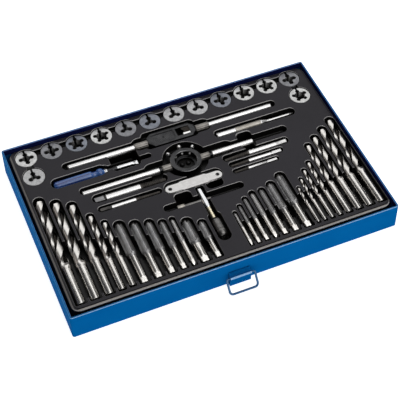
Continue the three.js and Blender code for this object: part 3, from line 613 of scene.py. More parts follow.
def add_drawer():
    """The folded tray with its rim hemmed inwards, as one closed sheet with soft folds."""
    low, high = extent("drawer_pan")
    hem, hem_height, fold, corner = 2.1, 8.0, 1.2, 2.5
    hem_low = high[2] - hem_height
    levels = [
        *bend(5, lambda sin, cos: (low[2] + fold * (1 - cos), fold * (1 - sin))),
        *bend(9, lambda sin, cos: (high[2] - hem / 2 * (1 - sin), hem / 2 * (1 - cos)), math.pi),
        (hem_low + 0.4, hem), (hem_low + 0.1, hem - 0.1), (hem_low, hem - 0.4), (hem_low, SHEET),
        *bend(4, lambda sin, cos: (SHEET + fold * (1 - sin), SHEET + fold * (1 - cos))),
    ]
    sides = (low[0], high[0], low[1], high[1])
    solid = stacked([(z, spread(sides, -inset), [corner - min(inset, hem)] * 4) for z, inset in levels], 8)
    pan = add_piece("folded_drawer", solid, PAINT, "drawer_pan", flat=True)

    # Faces inside the pan past the hem; they take the navy paint as painted shade
    def deep(x, y, z):
        inset = min(x - low[0], high[0] - x, y - low[1], high[1] - y)
        return inset > hem * 0.9 and z > low[2] + SHEET / 2

    second_material(pan, PAINT_INSIDE_SHADE, deep)


WIRE = 2.5
PIVOT = 14.6


def add_bracket(low, high, front, bead):
    """A stamped strip whose bead is rolled round the bail."""
    wall, slope, back = high[1], PIVOT + bead, front + SHEET
    profile = [
        (wall, high[2]), (wall, slope), (front + bead, PIVOT), (back, PIVOT - bead),
        (back, low[2] + SHEET), (wall, low[2] + SHEET), (wall, low[2]), (front, low[2]),
        (front, PIVOT - bead),
    ]
    profile += [
        (front - bead * math.cos(turn), PIVOT + bead * math.sin(turn))
        for turn in np.linspace(-math.pi / 3, TAU / 3, 20)
    ]
    profile += [(wall - SHEET, slope + SHEET), (wall - SHEET, high[2])]
    bore = x_bore(low[0] - 1, high[0] + 1, 2 * (bead - SHEET), front, PIVOT)
    strip = carved(drawn_along_x(profile, low[0], high[0]), bore)
    bracket = add_piece("stamped_bracket", strip, PAINT, "handle_bracket", sharp=34, bevel=0.2)
    # The slope above the bead and the back of the strip take the darker paint as painted shade
    upper, rear = PIVOT + 0.95 * bead, front + 0.8 * bead
    second_material(bracket, PAINT_SHADE, lambda _, y, z: z > upper or y > rear)


def add_bail(middle, front):
    """A wire bent to a rectangle whose two ends meet in the bead; it hangs down to the ground."""
    side, reach, drop = 16.5, 17.5, PIVOT - WIRE / 2
    down = np.array((0, -math.sqrt(reach ** 2 - drop ** 2), -drop)) / reach
    end_gap, near, far = 2, 2.0, 4.0
    flat = np.concatenate([
        [(0, 0)],
        arc(near - side, near, near, -QUARTER, -math.pi, 8),
        arc(far - side, reach - far, far, math.pi, QUARTER, 10),
        arc(side - far, reach - far, far, QUARTER, 0, 10),
        arc(side - near, near, near, 0, -QUARTER, 8),
        [(end_gap, 0)],
    ])
    start = np.array((middle, front, PIVOT))
    path = [start + np.array((x, 0, 0)) + down * out for x, out in flat]
    add_piece("wire_bail", tube(path, np.cross((1, 0, 0), down), WIRE), BAIL_PAINT, "handle_bail")


def add_handle():
    low, high = extent("handle_bracket")
    clearance = 0.35
    bead = WIRE / 2 + clearance + SHEET
    front = low[1] + bead
    add_bracket(low, high, front, bead)
    add_bail((low[0] + high[0]) / 2, front)


# Insert

SEAT = 0.3
SIDE_GAP = 0.9
BACK_GAP = 1.9
END_GAP = 2.6
RIM = 0.8
FOOT = 1.0
ROUND_SHARE = 0.96
INSERT_WALL = 1.6
INSERT_CORNER = 10
CUP_CORNER = 0.6
STEP_GAP = 0.6


def rim_levels(rim):
    """Heights and growths where a pocket's wall rounds over into the land, and on above it."""
    return [
        *bend(5, lambda sin, cos: (LAND - rim + rim * sin, rim * (1 - cos))),
        (LAND + 4, rim),
    ]


class Pockets:
    """The cutters of all pockets, with a cup of the insert's wall to stand round each."""

    def __init__(self):
        self.cutters = []
        self.cups = []

    def cut(self, sides, radii, floor, rim=RIM, foot=FOOT, steps=7):
        """A pocket whose walls round into its floor and round over into the land."""
        levels = bend(4, lambda sin, cos: (floor + foot * (1 - cos), -foot * (1 - sin))) + rim_levels(rim)
        self.cutters.append(stacked([(z, *grown(sides, radii, grow)) for z, grow in levels], steps))

    def cup(self, sides, floor):
        heights = (floor - INSERT_WALL, LAND - INSERT_WALL / 2)
        around = spread(sides, INSERT_WALL)
        self.cups.append(stacked([(z, around, [CUP_CORNER] * 4) for z in heights], 1))

    def pocket(self, sides, radii, floor, **more):
        self.cut(sides, radii, floor, **more)
        self.cup(sides, floor)

    def slot(self, x0, x1, y0, y1, floor):
        self.pocket((x0, x1, y0, y1), [min(x1 - x0, y1 - y0) / 2 * ROUND_SHARE] * 4, floor)

    def along(self, x0, x1, y, diameter, axis):
        """A slot for a round bar that lies along the drawer."""
        side = diameter / 2
        self.slot(x0, x1, y - side - SIDE_GAP, y + side + BACK_GAP, axis - side - SEAT)

    def disc(self, x, y, diameter, floor):
        radius = diameter / 2
        self.pocket((x - radius, x + radius, y - radius, y + radius), [radius] * 4, floor, rim=0.5, steps=16)

    def finger(self, x, y, length, width):
        """A deep square pocket with room for a finger tip."""
        sides = (x - length / 2, x + length / 2, y - width / 2, y + width / 2)
        self.pocket(sides, [5] * 4, 6, rim=1.4, foot=2.4)

    def channel(self, outline, floor):
        """A channel with straight sides, across the tools of a row, to lift them out by."""
        levels = [(floor, 0), *rim_levels(RIM)]
        self.cutters.append(skin(np.array([at_height(widened(outline, grow), z) for z, grow in levels])))
        cup = widened(outline, INSERT_WALL)
        self.cups.append(plate(cup, floor - INSERT_WALL, LAND - INSERT_WALL / 2))

    def step_edge(self, x0, x1, y, floor, round_over=0.8):
        """Rounds the edge where the higher floor under a shank drops to the deep one."""
        levels = [
            (floor - round_over - 0.01, y),
            *bend(4, lambda sin, cos: (floor - round_over * (1 - sin), y - round_over * (1 - cos))),
            (floor + 0.6, y - round_over),
        ]
        inset = 0.4
        self.cutters.append(stacked([
            (z, (x0 + inset, x1 - inset, front, y + 1), [0] * 4) for z, front in levels
        ], 1))


def widened(outline, amount):
    """A convex outline, counted anticlockwise, with every side moved outwards."""
    outline = np.asarray(outline, float)
    ways = np.roll(outline, -1, axis=0) - outline
    ways /= np.linalg.norm(ways, axis=1)[:, None]
    after = np.column_stack([ways[:, 1], -ways[:, 0]])
    before = np.roll(after, 1, axis=0)
    share = 1 + (before * after).sum(axis=1)[:, None]
    return outline + (before + after) / share * amount


def row_tools():
    """Node, widest diameter, shank and length of the cutting end of the front rows' tools."""
    for node, (width, shank, flutes) in DRILLS.items():
        yield node, width, shank, flutes
    for node, (width, shank, square, threaded) in TAPS.items():
        yield node, width, max(shank, square * DIAGONAL), threaded


FINGER_CHANNELS = {
    # a place along the row, and for the channel's front and back edge the place in Y there and the slope
    "left": (-167, (-47, -0.316), (-22, -0.312)),
    "right": (25, (-90.5, 0.098), (-73, 0.147)),
}


def channel_edges(side, x):
    """Where a finger channel starts and ends at a place along the row, from the front."""
    start, *edges = FINGER_CHANNELS[side]
    return [y + slope * (x - start) for y, slope in edges]


def row_gaps(pockets):
    """The finger channels across the rows, and the walls between shanks cut down to the shanks' floor."""
    channel_floor, bite, least_wall, front_wall = 12, 0.5, 0.3, 3
    lowered = []
    for side in FINGER_CHANNELS:
        row = []
        for node, width, shank, _ in row_tools():
            if side in node:
                x, front, _, axis = bar_place(node, width)
                row.append((x, width / 2 + SIDE_GAP, axis - shank / 2 - SEAT, front))
        row.sort()
        x0, x1 = row[0][0] - row[0][1], row[-1][0] + row[-1][1]
        (front0, back0), (front1, back1) = channel_edges(side, x0), channel_edges(side, x1)
        pockets.channel([(x0, front0), (x1, front1), (x1, back1), (x0, back0)], channel_floor)
        for (xa, half_a, floor_a, front), (xb, half_b, floor_b, _) in zip(row, row[1:]):
            x0, x1 = xa + half_a - bite, xb - half_b + bite
            if x1 - x0 > least_wall:
                back = channel_edges(side, (x0 + x1) / 2)[0] + 1
                floor = max(floor_a, floor_b)
                lowered.append(box(x0, x1, front + front_wall, back, floor, LAND + 2))
    return merged(*lowered)


def row_pocket(pockets, node, width, shank, cutting):
    """A front row tool's pocket: a deep floor under its cutting end and a higher one under the shank."""
    x, front, back, axis = bar_place(node, width)
    side = width / 2 + SIDE_GAP
    step = back - cutting - STEP_GAP - END_GAP
    front_round, overlap, square_corner, least_step = 1.6, 5, 0.1, 0.8
    shank_floor = axis - shank / 2 - SEAT
    pockets.cut((x - side, x + side, front - END_GAP, step + overlap), [front_round] * 4, shank_floor)
    radii = [square_corner, side, side, square_corner]
    pockets.pocket((x - side, x + side, step, back + END_GAP), radii, axis - width / 2 - SEAT)
    if shank < width - least_step:
        pockets.step_edge(x - side, x + side, step, shank_floor)
    pockets.cup((x - side, x + side, front - END_GAP, step), shank_floor)


# Sizes that the long tools share with their pockets
SCREWDRIVER_HANDLE = 12.4
PUNCH = 9
BLOCK_SIDE, BLOCK_EDGE, BLOCK_THICK = 30, 10.5, 9
TAP_GRIP, STOCK_GRIP = 7.6, 7.8
STOCK_HEIGHT, STOCK_MIDDLE = 11, 1
CHUCK = 13.6


def lying_pockets(pockets):
    """Pockets of the tools that lie along the drawer, in the same order as the tools."""
    left, right, y, _ = x_place("screwdriver")
    handle_end, neck, overlap, blade_room = left + 60, left + 66, 6, 17
    ferrule, shank, shank_seat = 8, 5, 1.5
    axis = LAND + PROUD - SCREWDRIVER_HANDLE / 2
    pockets.along(left - END_GAP, handle_end + END_GAP, y, SCREWDRIVER_HANDLE, axis)
    pockets.along(left, neck, y, ferrule, axis)
    half = shank / 2 + SIDE_GAP
    pockets.slot(neck - overlap, right + blade_room, y - half, y + half, axis - shank / 2 - shank_seat)
    pockets.finger(-64, 66, 34, 31)

    left, right, y, _ = x_place("centre_punch")
    pockets.along(left - END_GAP, right + END_GAP, y, PUNCH, LAND + PROUD - PUNCH / 2)

    for node, (large, _, square, *_) in EXTRACTORS.items():
        left, right, y, _ = x_place(node)
        width = max(large, square * DIAGONAL)
        pockets.along(left - END_GAP, right + END_GAP, y, width, LAND + PROUD - width / 2)

    left, right, y, top = x_place("thread_pitch_gauge")
    half, depth = 7.5, 3.5
    pockets.slot(left - SIDE_GAP, right + SIDE_GAP, y - half, y + half + END_GAP, top - depth)
    pockets.finger(18, -8, 20, 16)


def tap_wrench_pocket(pockets):
    x, y, axis = 0, 79, LAND + PROUD - BLOCK_THICK / 2
    grips, collars, collar_half = BLOCK_SIDE + 104, BLOCK_SIDE + 17 + END_GAP, 9.5
    collar_depth, block_depth, corner = 5, 4.8, 6
    room_left, room_right, room_front, room_back = 5, 1.5, 2, 4
    pockets.along(x - grips, x + grips, y, TAP_GRIP, axis)
    pockets.slot(x - collars, x + collars, y - collar_half, y + collar_half, axis - collar_depth)
    block = (
        x - BLOCK_SIDE - room_left, x + BLOCK_SIDE + room_right,
        y - BLOCK_EDGE - room_front, y + BLOCK_EDGE + room_back,
    )
    pockets.pocket(block, [corner] * 4, axis - block_depth)


def die_stock_pocket(pockets):
    x, y, axis = STOCK_MIDDLE, 35.6, LAND + PROUD - STOCK_HEIGHT / 2
    ring, ring_back, ring_depth, grips = 54, 1, 5.8, 128.6
    collar_left, collar_right, collar_half, collar_depth = 51, 60, 10, 4.8
    pockets.disc(x, y + ring_back, ring, axis - ring_depth)
    pockets.along(x - grips, x + grips, y, STOCK_GRIP, axis)
    pockets.slot(x - collar_left, x + collar_right, y - collar_half, y + collar_half, axis - collar_depth)
    pockets.finger(78, 37, 18, 26)


def tee_wrench_pocket(pockets):
    x, back, axis = -0.9, -8.5, LAND + PROUD - CHUCK / 2
    chuck_front, chuck_back, chuck_half, chuck_depth = back - 82, back - 39.2, 7.7, 7.1
    overlap, shaft_half, shaft_depth = 13.6, 5.2, 4.6
    bar_y, bar_reach, bar_half, bar_depth = back - 15.6, 48.5, 4.75, 3.6
    pockets.slot(x - chuck_half, x + chuck_half, chuck_front, chuck_back, axis - chuck_depth)
    pockets.slot(x - shaft_half, x + shaft_half, chuck_back - overlap, back + END_GAP, axis - shaft_depth)
    pockets.slot(x - bar_reach, x + bar_reach, bar_y - bar_half, bar_y + bar_half, axis - bar_depth)
    pockets.finger(-22.5, -18.5, 20, 20)


def die_pockets(pockets):
    """A round pocket for each die, with a shallow slot behind the row and down to its end dies."""
    room, depth, row_pitch, half = 26.6, 6, 30.5, 4
    for k in range(len(DIE_LOBES)):
        x, y, low, _ = die_place(f"die_{k + 1:02d}")
        pockets.disc(x, y, room, low - SEAT)
    row_x, row_y, _, _ = die_place("die_01")
    pockets.slot(row_x, -row_x, row_y, row_y + 2 * half, LAND - depth)
    for x in (row_x, -row_x):
        pockets.slot(x - half, x + half, row_y - row_pitch, row_y, LAND - depth)


def insert_body():
    """The tray's outside with a rounded shoulder, and the hollow under its land."""
    low, high = extent("tool_insert")
    sides, radii = (low[0], high[0], low[1], high[1]), [INSERT_CORNER] * 4
    shoulder, thickness = 1.6, 3.6
    levels = [
        (low[2], 0),
        *bend(7, lambda sin, cos: (LAND - shoulder + shoulder * sin, shoulder * (cos - 1))),
    ]
    outer = stacked([(z, *grown(sides, radii, grow)) for z, grow in levels], 12)
    inside = [(z, *grown(sides, radii, -INSERT_WALL)) for z in (low[2] - 5, LAND - thickness)]
    return outer, stacked(inside, 12)


def lip_groove():
    """The shallow groove that sets the rounded lip off from the land, along the left and the front."""
    low, high = extent("tool_insert")
    inset, width, depth, corner = 2.3, 1.3, 0.7, INSERT_CORNER
    back_room, last_turn = 45, 1.72 * math.pi
    loops = []
    for reach in (inset, inset + width):
        near = arc(low[0] + corner, low[1] + corner, corner - reach, math.pi, 3 * QUARTER, 10)
        far = arc(high[0] - corner, low[1] + corner, corner - reach, 3 * QUARTER, last_turn, 5)
        loops.append(np.concatenate([[(low[0] + reach, high[1] - back_room)], near, far]))
    return plate(np.concatenate([loops[0], loops[1][::-1]]), LAND - depth, LAND + 2)


FLOOR_DOMES = ((-2.7, 38.4), (5, 38.4))


def floor_dome(x, y):
    """A small dome on the floor of the die stock's pocket."""
    profile = ((3.1, 16), (3.1, 19.2), (2.6, 20.2), (1.6, 20.9), (0.4, 21.1))
    return skin(np.array([at_height(round_outline(x, y, radius, 24), z) for radius, z in profile]))


def add_insert():
    pockets = Pockets()
    die_pockets(pockets)
    lying_pockets(pockets)
    tap_wrench_pocket(pockets)
    die_stock_pocket(pockets)
    tee_wrench_pocket(pockets)
    for tool in row_tools():
        row_pocket(pockets, *tool)
    between_shanks = row_gaps(pockets)
    body, hollow = insert_body()
    mesh = baked(
        body,
        ("DIFFERENCE", hollow),
        *[("UNION", cup) for cup in pockets.cups],
        ("INTERSECT", body),
        ("DIFFERENCE", lip_groove()),
        *[("DIFFERENCE", cutter) for cutter in pockets.cutters],
        ("DIFFERENCE", between_shanks),
        ("UNION", merged(*[floor_dome(x, y) for x, y in FLOOR_DOMES])),
    )
    add_piece("moulded_insert", mesh, PLASTIC, "tool_insert", sharp=40, flat=True)


# Dies

DIE_DIAMETER = 25.4
DIE_SLIT = 2.5
DIE_THREADS = {
    # lobes, bore, lobe diameter, distance of a lobe from the middle
    3: (5.0, 5.6, 4.9),
    4: (8.0, 5.3, 6.2),
    5: (11.0, 4.6, 7.3),
}
DIE_LOBES = (4, 4, 5, 5, 3, 3, 3, 3, 4, 5, 5, 4, 3, 5)
DIE_FINISHES = (
    DIE_BRIGHT, DIE_GREY, DIE_BLUED, DIE_BRIGHT, DIE_GREY, DIE_BLUED, DIE_SATIN,
    DIE_SATIN, DIE_BLUED, DIE_BRIGHT, DIE_BRIGHT, DIE_GREY, DIE_SATIN, DIE_BRIGHT,
)


def die_place(node):
    """Middle of a die, and the heights of its two faces."""
    low, high = extent(node)
    return (low[0] + high[0]) / 2, high[1] - DIE_DIAMETER / 2, low[2], high[2]


def die_outline(lobes, bore_grow, lobe_grow, rim_inset):
    """A die's outline: its rim, its slit, and the keyholes that open from the thread."""
    bore, lobe, reach = DIE_THREADS[lobes]
    bore, lobe, rim = bore / 2 + bore_grow, lobe / 2 + lobe_grow, DIE_DIAMETER / 2 - rim_inset
    start = QUARTER
    outer_slit, inner_slit = math.asin(DIE_SLIT / 2 / rim), math.asin(DIE_SLIT / 2 / lobe)
    neck = math.acos((bore ** 2 + reach ** 2 - lobe ** 2) / (2 * bore * reach))
    opening = math.atan2(bore * math.sin(neck), bore * math.cos(neck) - reach)
    outline = [arc(0, 0, rim, start + outer_slit, start - outer_slit + TAU, 90)]
    for k in range(lobes, -1, -1):
        middle = start + TAU * k / lobes
        first = middle + (-inner_slit if k == lobes else opening)
        last = middle + (inner_slit if k == 0 else -opening)
        outline.append(arc(reach * math.cos(middle), reach * math.sin(middle), lobe, first, last, 14))
        if k:
            after = middle - TAU / lobes
            outline.append(arc(0, 0, bore, middle - neck, after + neck, 6))
    return np.concatenate(outline)


def die_levels(thick):
    """A die's chamfers and thread: height, and how far its bore, keyholes and rim move there."""
    lead, chamfer, pitch, depth = 0.9, 0.35, 1.2, 0.4
    end = [(0, lead, chamfer / 2, chamfer), (chamfer, lead - chamfer, 0, 0), (lead, 0, 0, 0)]
    turns = round((thick - 2 * lead) / pitch)
    threads = [
        (lead + (thick - 2 * lead) * (t + 0.5) / (2 * turns), depth * (t % 2), 0, 0)
        for t in range(2 * turns)
    ]
    return end + threads + [(thick - z, *rest) for z, *rest in end[::-1]]


def add_die(node, lobes, finish):
    x, y, low, high = die_place(node)
    rings = np.array([
        at_height(die_outline(lobes, *sizes), low + z) for z, *sizes in die_levels(high - low)
    ])
    piece = add_piece(node + "_finished", moved(skin(rings), x, y), finish, node, sharp=32)
    inner = 0.47 * DIE_DIAMETER

    def inside(px, py, pz):
        return math.hypot(px - x, py - y) < inner and low + 0.2 < pz < high - 0.2

    second_material(piece, DIE_WALL, inside)


# Drills and taps

DRILLS = {
    # diameter, shank diameter, length of the flutes
    "drill_left_1": (12, 10, 104),
    "drill_left_2": (11.8, 9.6, 96),
    "drill_left_3": (11, 9, 86),
    "drill_left_4": (7.8, 7, 68),
    "drill_left_5": (6.8, 6.2, 54),
    "drill_right_1": (10.6, 9, 90),
    "drill_right_2": (10.2, 8.8, 82),
    "drill_right_3": (8.8, 8, 74),
    "drill_right_4": (7.8, 7.2, 66),
    "drill_right_5": (5.6, 5.2, 50),
    "drill_right_6": (5, 4.6, 43),
    "drill_right_7": (4.2, 3.9, 35),
    "drill_right_8": (3.4, 3.2, 27),
}
TAPS = {
    # thread diameter, shank diameter, square, length of the thread
    "tap_left_1": (12, 8.6, 7, 46),
    "tap_left_2": (11.4, 8.2, 6.8, 44),
    "tap_left_3": (10.2, 7.4, 6, 41),
    "tap_left_4": (8.4, 6, 5, 37),
    "tap_left_5": (5.8, 5, 4, 34),
    "tap_left_6": (12.6, 10.2, 8.2, 33),
    "tap_left_7": (9, 6.4, 5.4, 24),
    "tap_right_1": (11.6, 8.4, 6.8, 44),
    "tap_right_2": (9.8, 7.2, 5.8, 40),
    "tap_right_3": (7.8, 5.8, 4.8, 36),
    "tap_right_4": (6.8, 5.2, 4.3, 35),
    "tap_right_5": (5.8, 4.8, 3.9, 31),
    "tap_right_6": (4.8, 4.2, 3.4, 26),
    "tap_right_7": (3.8, 3.6, 2.9, 22),
}
POINTED_TAPS = ("tap_left_5", "tap_right_4", "tap_right_7")
SECTION_POINTS = 72


def drill_section(depth):
    """Radius shares round a twist drill: two lands with a raised margin, and two flutes."""
    margin, flute_start, ramp, relief = 0.06, 0.46, 0.03, 0.03
    turn = np.linspace(0, 2, SECTION_POINTS, endpoint=False) % 1
    flute = np.clip((turn - flute_start) / (1 - flute_start), 0, 1)
    shares = 1 - depth * np.sin(math.pi * flute) ** 0.8
    body = np.clip((turn - margin) / ramp, 0, 1) * np.clip((flute_start - turn) / ramp, 0, 1)
    return shares - relief * min(1, depth / 0.3) * body


def drill_rings(diameter, shank, length, flutes):
    """A drill's rings, from its soft end to its cone point, and where its shade and its point start."""
    point, pitch, run_out, web = diameter * 0.3, diameter * 5.9, 1.5 * diameter, 0.62
    start = length - flutes
    steps = int(flutes / pitch * 60)
    ends = [(0, 0.7), (0.12, 0.42), (0.4, 0.12), (0.8, 0), (start, 0)]
    rows = [(at, shank / 2 - inset, drill_section(0), start) for at, inset in ends]
    for k in range(1, steps + 1):
        at = start + (flutes - point) * (k / steps)
        run = min(1, (at - start) / run_out)
        radius = (shank + (diameter - shank) * min(1, run * 4)) / 2
        rows.append((at, radius, drill_section(web * math.sin(run * math.pi / 2) ** 1.5), at))
    tip = len(rows)
    _, _, last_shape, last = rows[-1]
    for share in (0.05, 0.33, 0.66, 0.9, 1.0):
        at, radius = length - point + point * share, diameter / 2 * (1 - share * 0.92)
        rows.append((at, radius, 1 - (1 - last_shape) * (1 - 0.6 * share), last))
    places, radii, shapes, twisted = map(np.array, zip(*rows))
    turns = TAU * (twisted - length) / pitch
    rings = bar_rings(places, radii[:, None] * shapes, circle(SECTION_POINTS)[None, :] + turns[:, None])
    return rings, len(ends) + steps // 12, tip


def add_drill(node, diameter, shank, flutes):
    """A drill with a bright shank, and painted shade inside its flutes and on its point."""
    x, front, back, axis = bar_place(node, diameter)
    length = back - front
    rings, shade, tip = drill_rings(diameter, shank, length, flutes)
    piece = add_piece(node + "_finished", moved(skin(rings), x, front, axis), FLUTED, node, sharp=35)
    second_material(piece, BRIGHT, lambda _, y, z: y < front + (length - flutes))

    # Faces down in the flutes and on the point take painted shade
    def in_shade(number, _):
        """By the face's ring and its place round it."""
        ring, place = divmod(number, SECTION_POINTS)
        turn = 2 * (place + 0.5) / SECTION_POINTS % 1
        return ring >= tip or ring >= shade and (0.45 < turn < 0.48 or 0.62 < turn < 0.97)

    paint_faces(piece, FLUTE_DARK, in_shade)


def squared_radii(square, sides, round_share=1.32):
    """Radii of a square section with rounded corners, one flat up."""
    angles = circle(sides)
    flat = 1 / np.maximum(np.abs(np.sin(angles)), np.abs(np.cos(angles)))
    return np.minimum(flat, round_share) * square / 2


def tap_grip(shank, square, pointed, sides):
    """Places and radii of a tap's squared end, which can be pointed, and of its shank."""
    squared, shank_ring = squared_radii(square, sides), np.full(sides, shank / 2)
    if pointed:
        places, radii = [0, 2.2], [squared * 0.08, squared * 0.86]
    else:
        places, radii = [0, 0.15, 0.5], [squared - 0.7, squared - 0.3, squared]
    return places + [6.4, 7.2, 8.2], radii + [squared, 0.5 * (squared + shank_ring), shank_ring]


def tap_rings(diameter, shank, square, threaded, length, pointed):
    """A tap's rings, where its thread starts, and how long the cone is that leads up to it."""
    angles = circle(96)
    pitch = 0.42 + 0.115 * diameter
    depth, lead = 0.56 * pitch, 4 * pitch
    start = length - threaded
    places, radii = tap_grip(shank, square, pointed, len(angles))
    shank_ring, cone = radii[-1], min(0.5 * (diameter - shank) + 0.4, 2)
    for share in (0, 0.5, 1):
        places.append(start - cone * (1 - share) - 0.3)
        radii.append(shank_ring + share * max(0, diameter / 2 - depth - shank / 2))
    base = radii[-1]
    flutes, flute_depth = 4 if diameter > 8 else 3, 0.42
    flute = np.clip(np.cos(flutes * (angles - 0.25)) * 1.9 - 0.62, 0, 1)
    steps = int(threaded / pitch * 6)
    for k in range(1, steps + 1):
        at = start + threaded * k / steps
        tooth = np.abs(2 * ((at / pitch - angles / TAU) % 1) - 1)
        taper = 1 - 0.2 * max(0, at - (length - lead)) / lead
        rise = min(1, (at - start) / pitch)
        deepen = min(1, (at - start) / (0.5 * diameter))
        cut = (diameter / 2 * taper - depth * tooth) * (1 - flute_depth * flute * deepen)
        radii.append(base * (1 - rise) + cut * rise)
        places.append(at)
    if pointed:
        point = [length - diameter * 0.45, length + 0.01]
        kept = sum(at < point[0] for at in places[:-1])
        places, radii = places[:kept] + point, radii[:kept] + [radii[-1], radii[-1] * 0.15]
    else:
        places.append(length)
        radii.append(radii[-1] * 0.6)
    return bar_rings(places, np.array(radii), angles[None, :]), start, cone


def add_tap(node, diameter, shank, square, threaded):
    """A tap: a squared end and a shank, both bright, then a cone and a thread with its flutes."""
    x, front, back, axis = bar_place(node, diameter)
    pointed = node in POINTED_TAPS
    finish = PALE if pointed else GREY
    rings, start, cone = tap_rings(diameter, shank, square, threaded, back - front, pointed)
    piece = add_piece(node + "_finished", moved(skin(rings), x, front, axis), finish, node, sharp=40)
    second_material(piece, BRIGHT, lambda _, y, z: y < front + start - cone)
    if not pointed:
        second_material(piece, DIE_BORE, lambda _, y, z: y > back - 0.18 * diameter)


# Tools that lie along the drawer

def add_x_bar(name, profile, material, node, place, replaces=False, flip=False, soft=0.45):
    """A turned piece of a tool that lies along X."""
    shape = moved(along_x(turned(profile, soft=soft), flip), *place)
    return add_piece(name, shape, material, node, replaces=replaces)


def knurl(start, end, diameter, pitch=0.9, depth=0.16, sides=120):
    """A knurled stretch of bar along +Y, with diamonds from two crossing helices."""
    rows = max(4, int((end - start) / pitch * 4))
    places = np.linspace(start, end, rows + 1)
    angles = circle(sides)
    around = round(math.pi * diameter / pitch)
    phase = angles[None, :] * around / TAU
    climb = (places[:, None] - start) / pitch
    waves = np.abs(((phase + climb) % 1) - 0.5) + np.abs(((phase - climb) % 1) - 0.5)
    radii = diameter / 2 - depth + depth * (1 - waves)
    radii[0] = radii[-1] = diameter / 2 - 2.5 * depth
    return skin(bar_rings(places, radii, angles))


def fluted_collar(start, end, diameter, grooves=14, depth=0.35, sides=112):
    """A collar with lengthwise grooves and rounded ends."""
    angles = circle(sides)
    wave = np.clip(np.cos(grooves * angles) * 1.5, -1, 1) * depth / 2
    places = [start, start + 0.2, start + 0.7, end - 0.7, end - 0.2, end]
    shares = [(0.86, 0), (0.95, 0.5), (1, 1), (1, 1), (0.95, 0.5), (0.86, 0)]
    radii = np.array([(diameter / 2 - depth / 2) * size + wave * strength for size, strength in shares])
    return skin(bar_rings(places, radii, angles))


def threaded_bar(start, end, diameter, pitch, depth=0.45, sides=40):
    """A bar along +Y with a helical thread."""
    places = np.arange(start, end, pitch / 5)
    angles = circle(sides)
    tooth = np.abs(2 * ((places[:, None] / pitch - angles[None, :] / TAU) % 1) - 1)
    radii = diameter / 2 - depth * tooth
    radii[0] = radii[-1] = diameter / 2 - 1.4 * depth
    return skin(bar_rings(places, radii, angles))


def screwdriver_handle(radius):
    """A handle with six ribs, a neck and a bolster, along +Y."""
    angles = circle(96)
    ribs = 1 - 0.075 * np.clip(0.5 + np.cos(6 * angles) * 1.4, 0, 1)
    stations = [
        # position, share of the radius, strength of the ribs
        (0, 0.4, 0), (0.25, 0.6, 0), (0.9, 0.79, 0), (2, 0.92, 0), (3.6, 1, 0), (6, 1, 1), (41, 1, 1),
        (43.6, 1, 0.3), (45, 0.95, 0), (46, 0.8, 0), (47, 0.73, 0), (50.6, 0.72, 0), (51.6, 0.8, 0),
        (52.6, 0.93, 0), (54.4, 1, 0), (56.6, 0.98, 0), (58, 0.88, 0), (59, 0.72, 0), (60.4, 0.64, 0),
    ]
    radii = np.array([radius * size * (1 - rib + rib * ribs) for _, size, rib in stations])
    return skin(bar_rings([at for at, *_ in stations], radii, angles))


def screwdriver_tip(radius):
    """The flattened end of the blade, along +X."""
    stations = [
        # position, share of the width, share of the thickness
        (93.9, 1, 1), (95, 1, 0.97), (97.5, 1, 0.5), (100, 1.02, 0.22), (101, 1, 0.2),
    ]
    return skin(np.array([
        [
            (at, radius * wide * math.cos(turn), radius * np.clip(math.sin(turn), -thick, thick))
            for turn in circle(32)
        ]
        for at, wide, thick in stations
    ]))


def add_screwdriver():
    node = "screwdriver"
    left, _, y, top = x_place(node)
    radius = SCREWDRIVER_HANDLE / 2
    place, blade = (left, y, top - radius), 5.6
    handle = moved(along_x(screwdriver_handle(radius)), *place)
    add_piece("screwdriver_handle", handle, BLUE_HANDLE, node, sharp=50)
    ferrule = capped((59.8, 7.4), (61, 7.4), (61.3, 6.8), (61.8, 6.8), (62.1, 7.4), (63.4, 7.4), (64, 6.2))
    add_x_bar("screwdriver_ferrule", ferrule, CHROME, node, place, soft=0.2)
    # A blackened sleeve on the blade behind the ferrule: painted shade where the blade lies in the pocket's
    # shadow
    add_x_bar("screwdriver_shade_sleeve", capped((63.8, 6.2), (75.8, 6.2)), BLACKENED, node, place, soft=0.3)
    bar = [(75.6, 0.4), (75.6, blade), (94, blade)]
    add_x_bar("screwdriver_blade", bar, CHROME, node, place, soft=0.3)
    tip = moved(screwdriver_tip(blade / 2), *place)
    add_piece("screwdriver_tip", tip, CHROME, node, sharp=30, replaces=False)


def add_centre_punch():
    node = "centre_punch"
    left, _, y, top = x_place(node)
    place = (left, y, top - PUNCH / 2)
    head = capped((0, 7.2), (1.6, 8.4), (24.3, 8.4))
    add_x_bar("centre_punch_head", head, BAR_BRIGHT, node, place, replaces=True)
    grip = moved(along_x(knurl(24.2, 57, PUNCH)), *place)
    add_piece("centre_punch_grip", grip, KNURLED, node, replaces=False)
    pin = [(56.8, 0.4), (56.8, 8.2), (58, 8.2), (64.5, 4.4), (67, 3.8), (94, 3), (99, 0.3)]
    add_x_bar("centre_punch_pin", pin, BAR_BRIGHT, node, place)


EXTRACTORS = {
    # large and small diameter, square, length of the spiral, whether the square end is on the right
    "extractor_1": (9.6, 5.6, 6.4, 31, False),
    "extractor_2": (5.4, 3, 4, 29, False),
    "extractor_3": (7.4, 4, 4.8, 30, True),
    "extractor_4": (5.4, 3, 4, 22, True),
    "extractor_5": (4.2, 2.2, 3, 17, True),
}


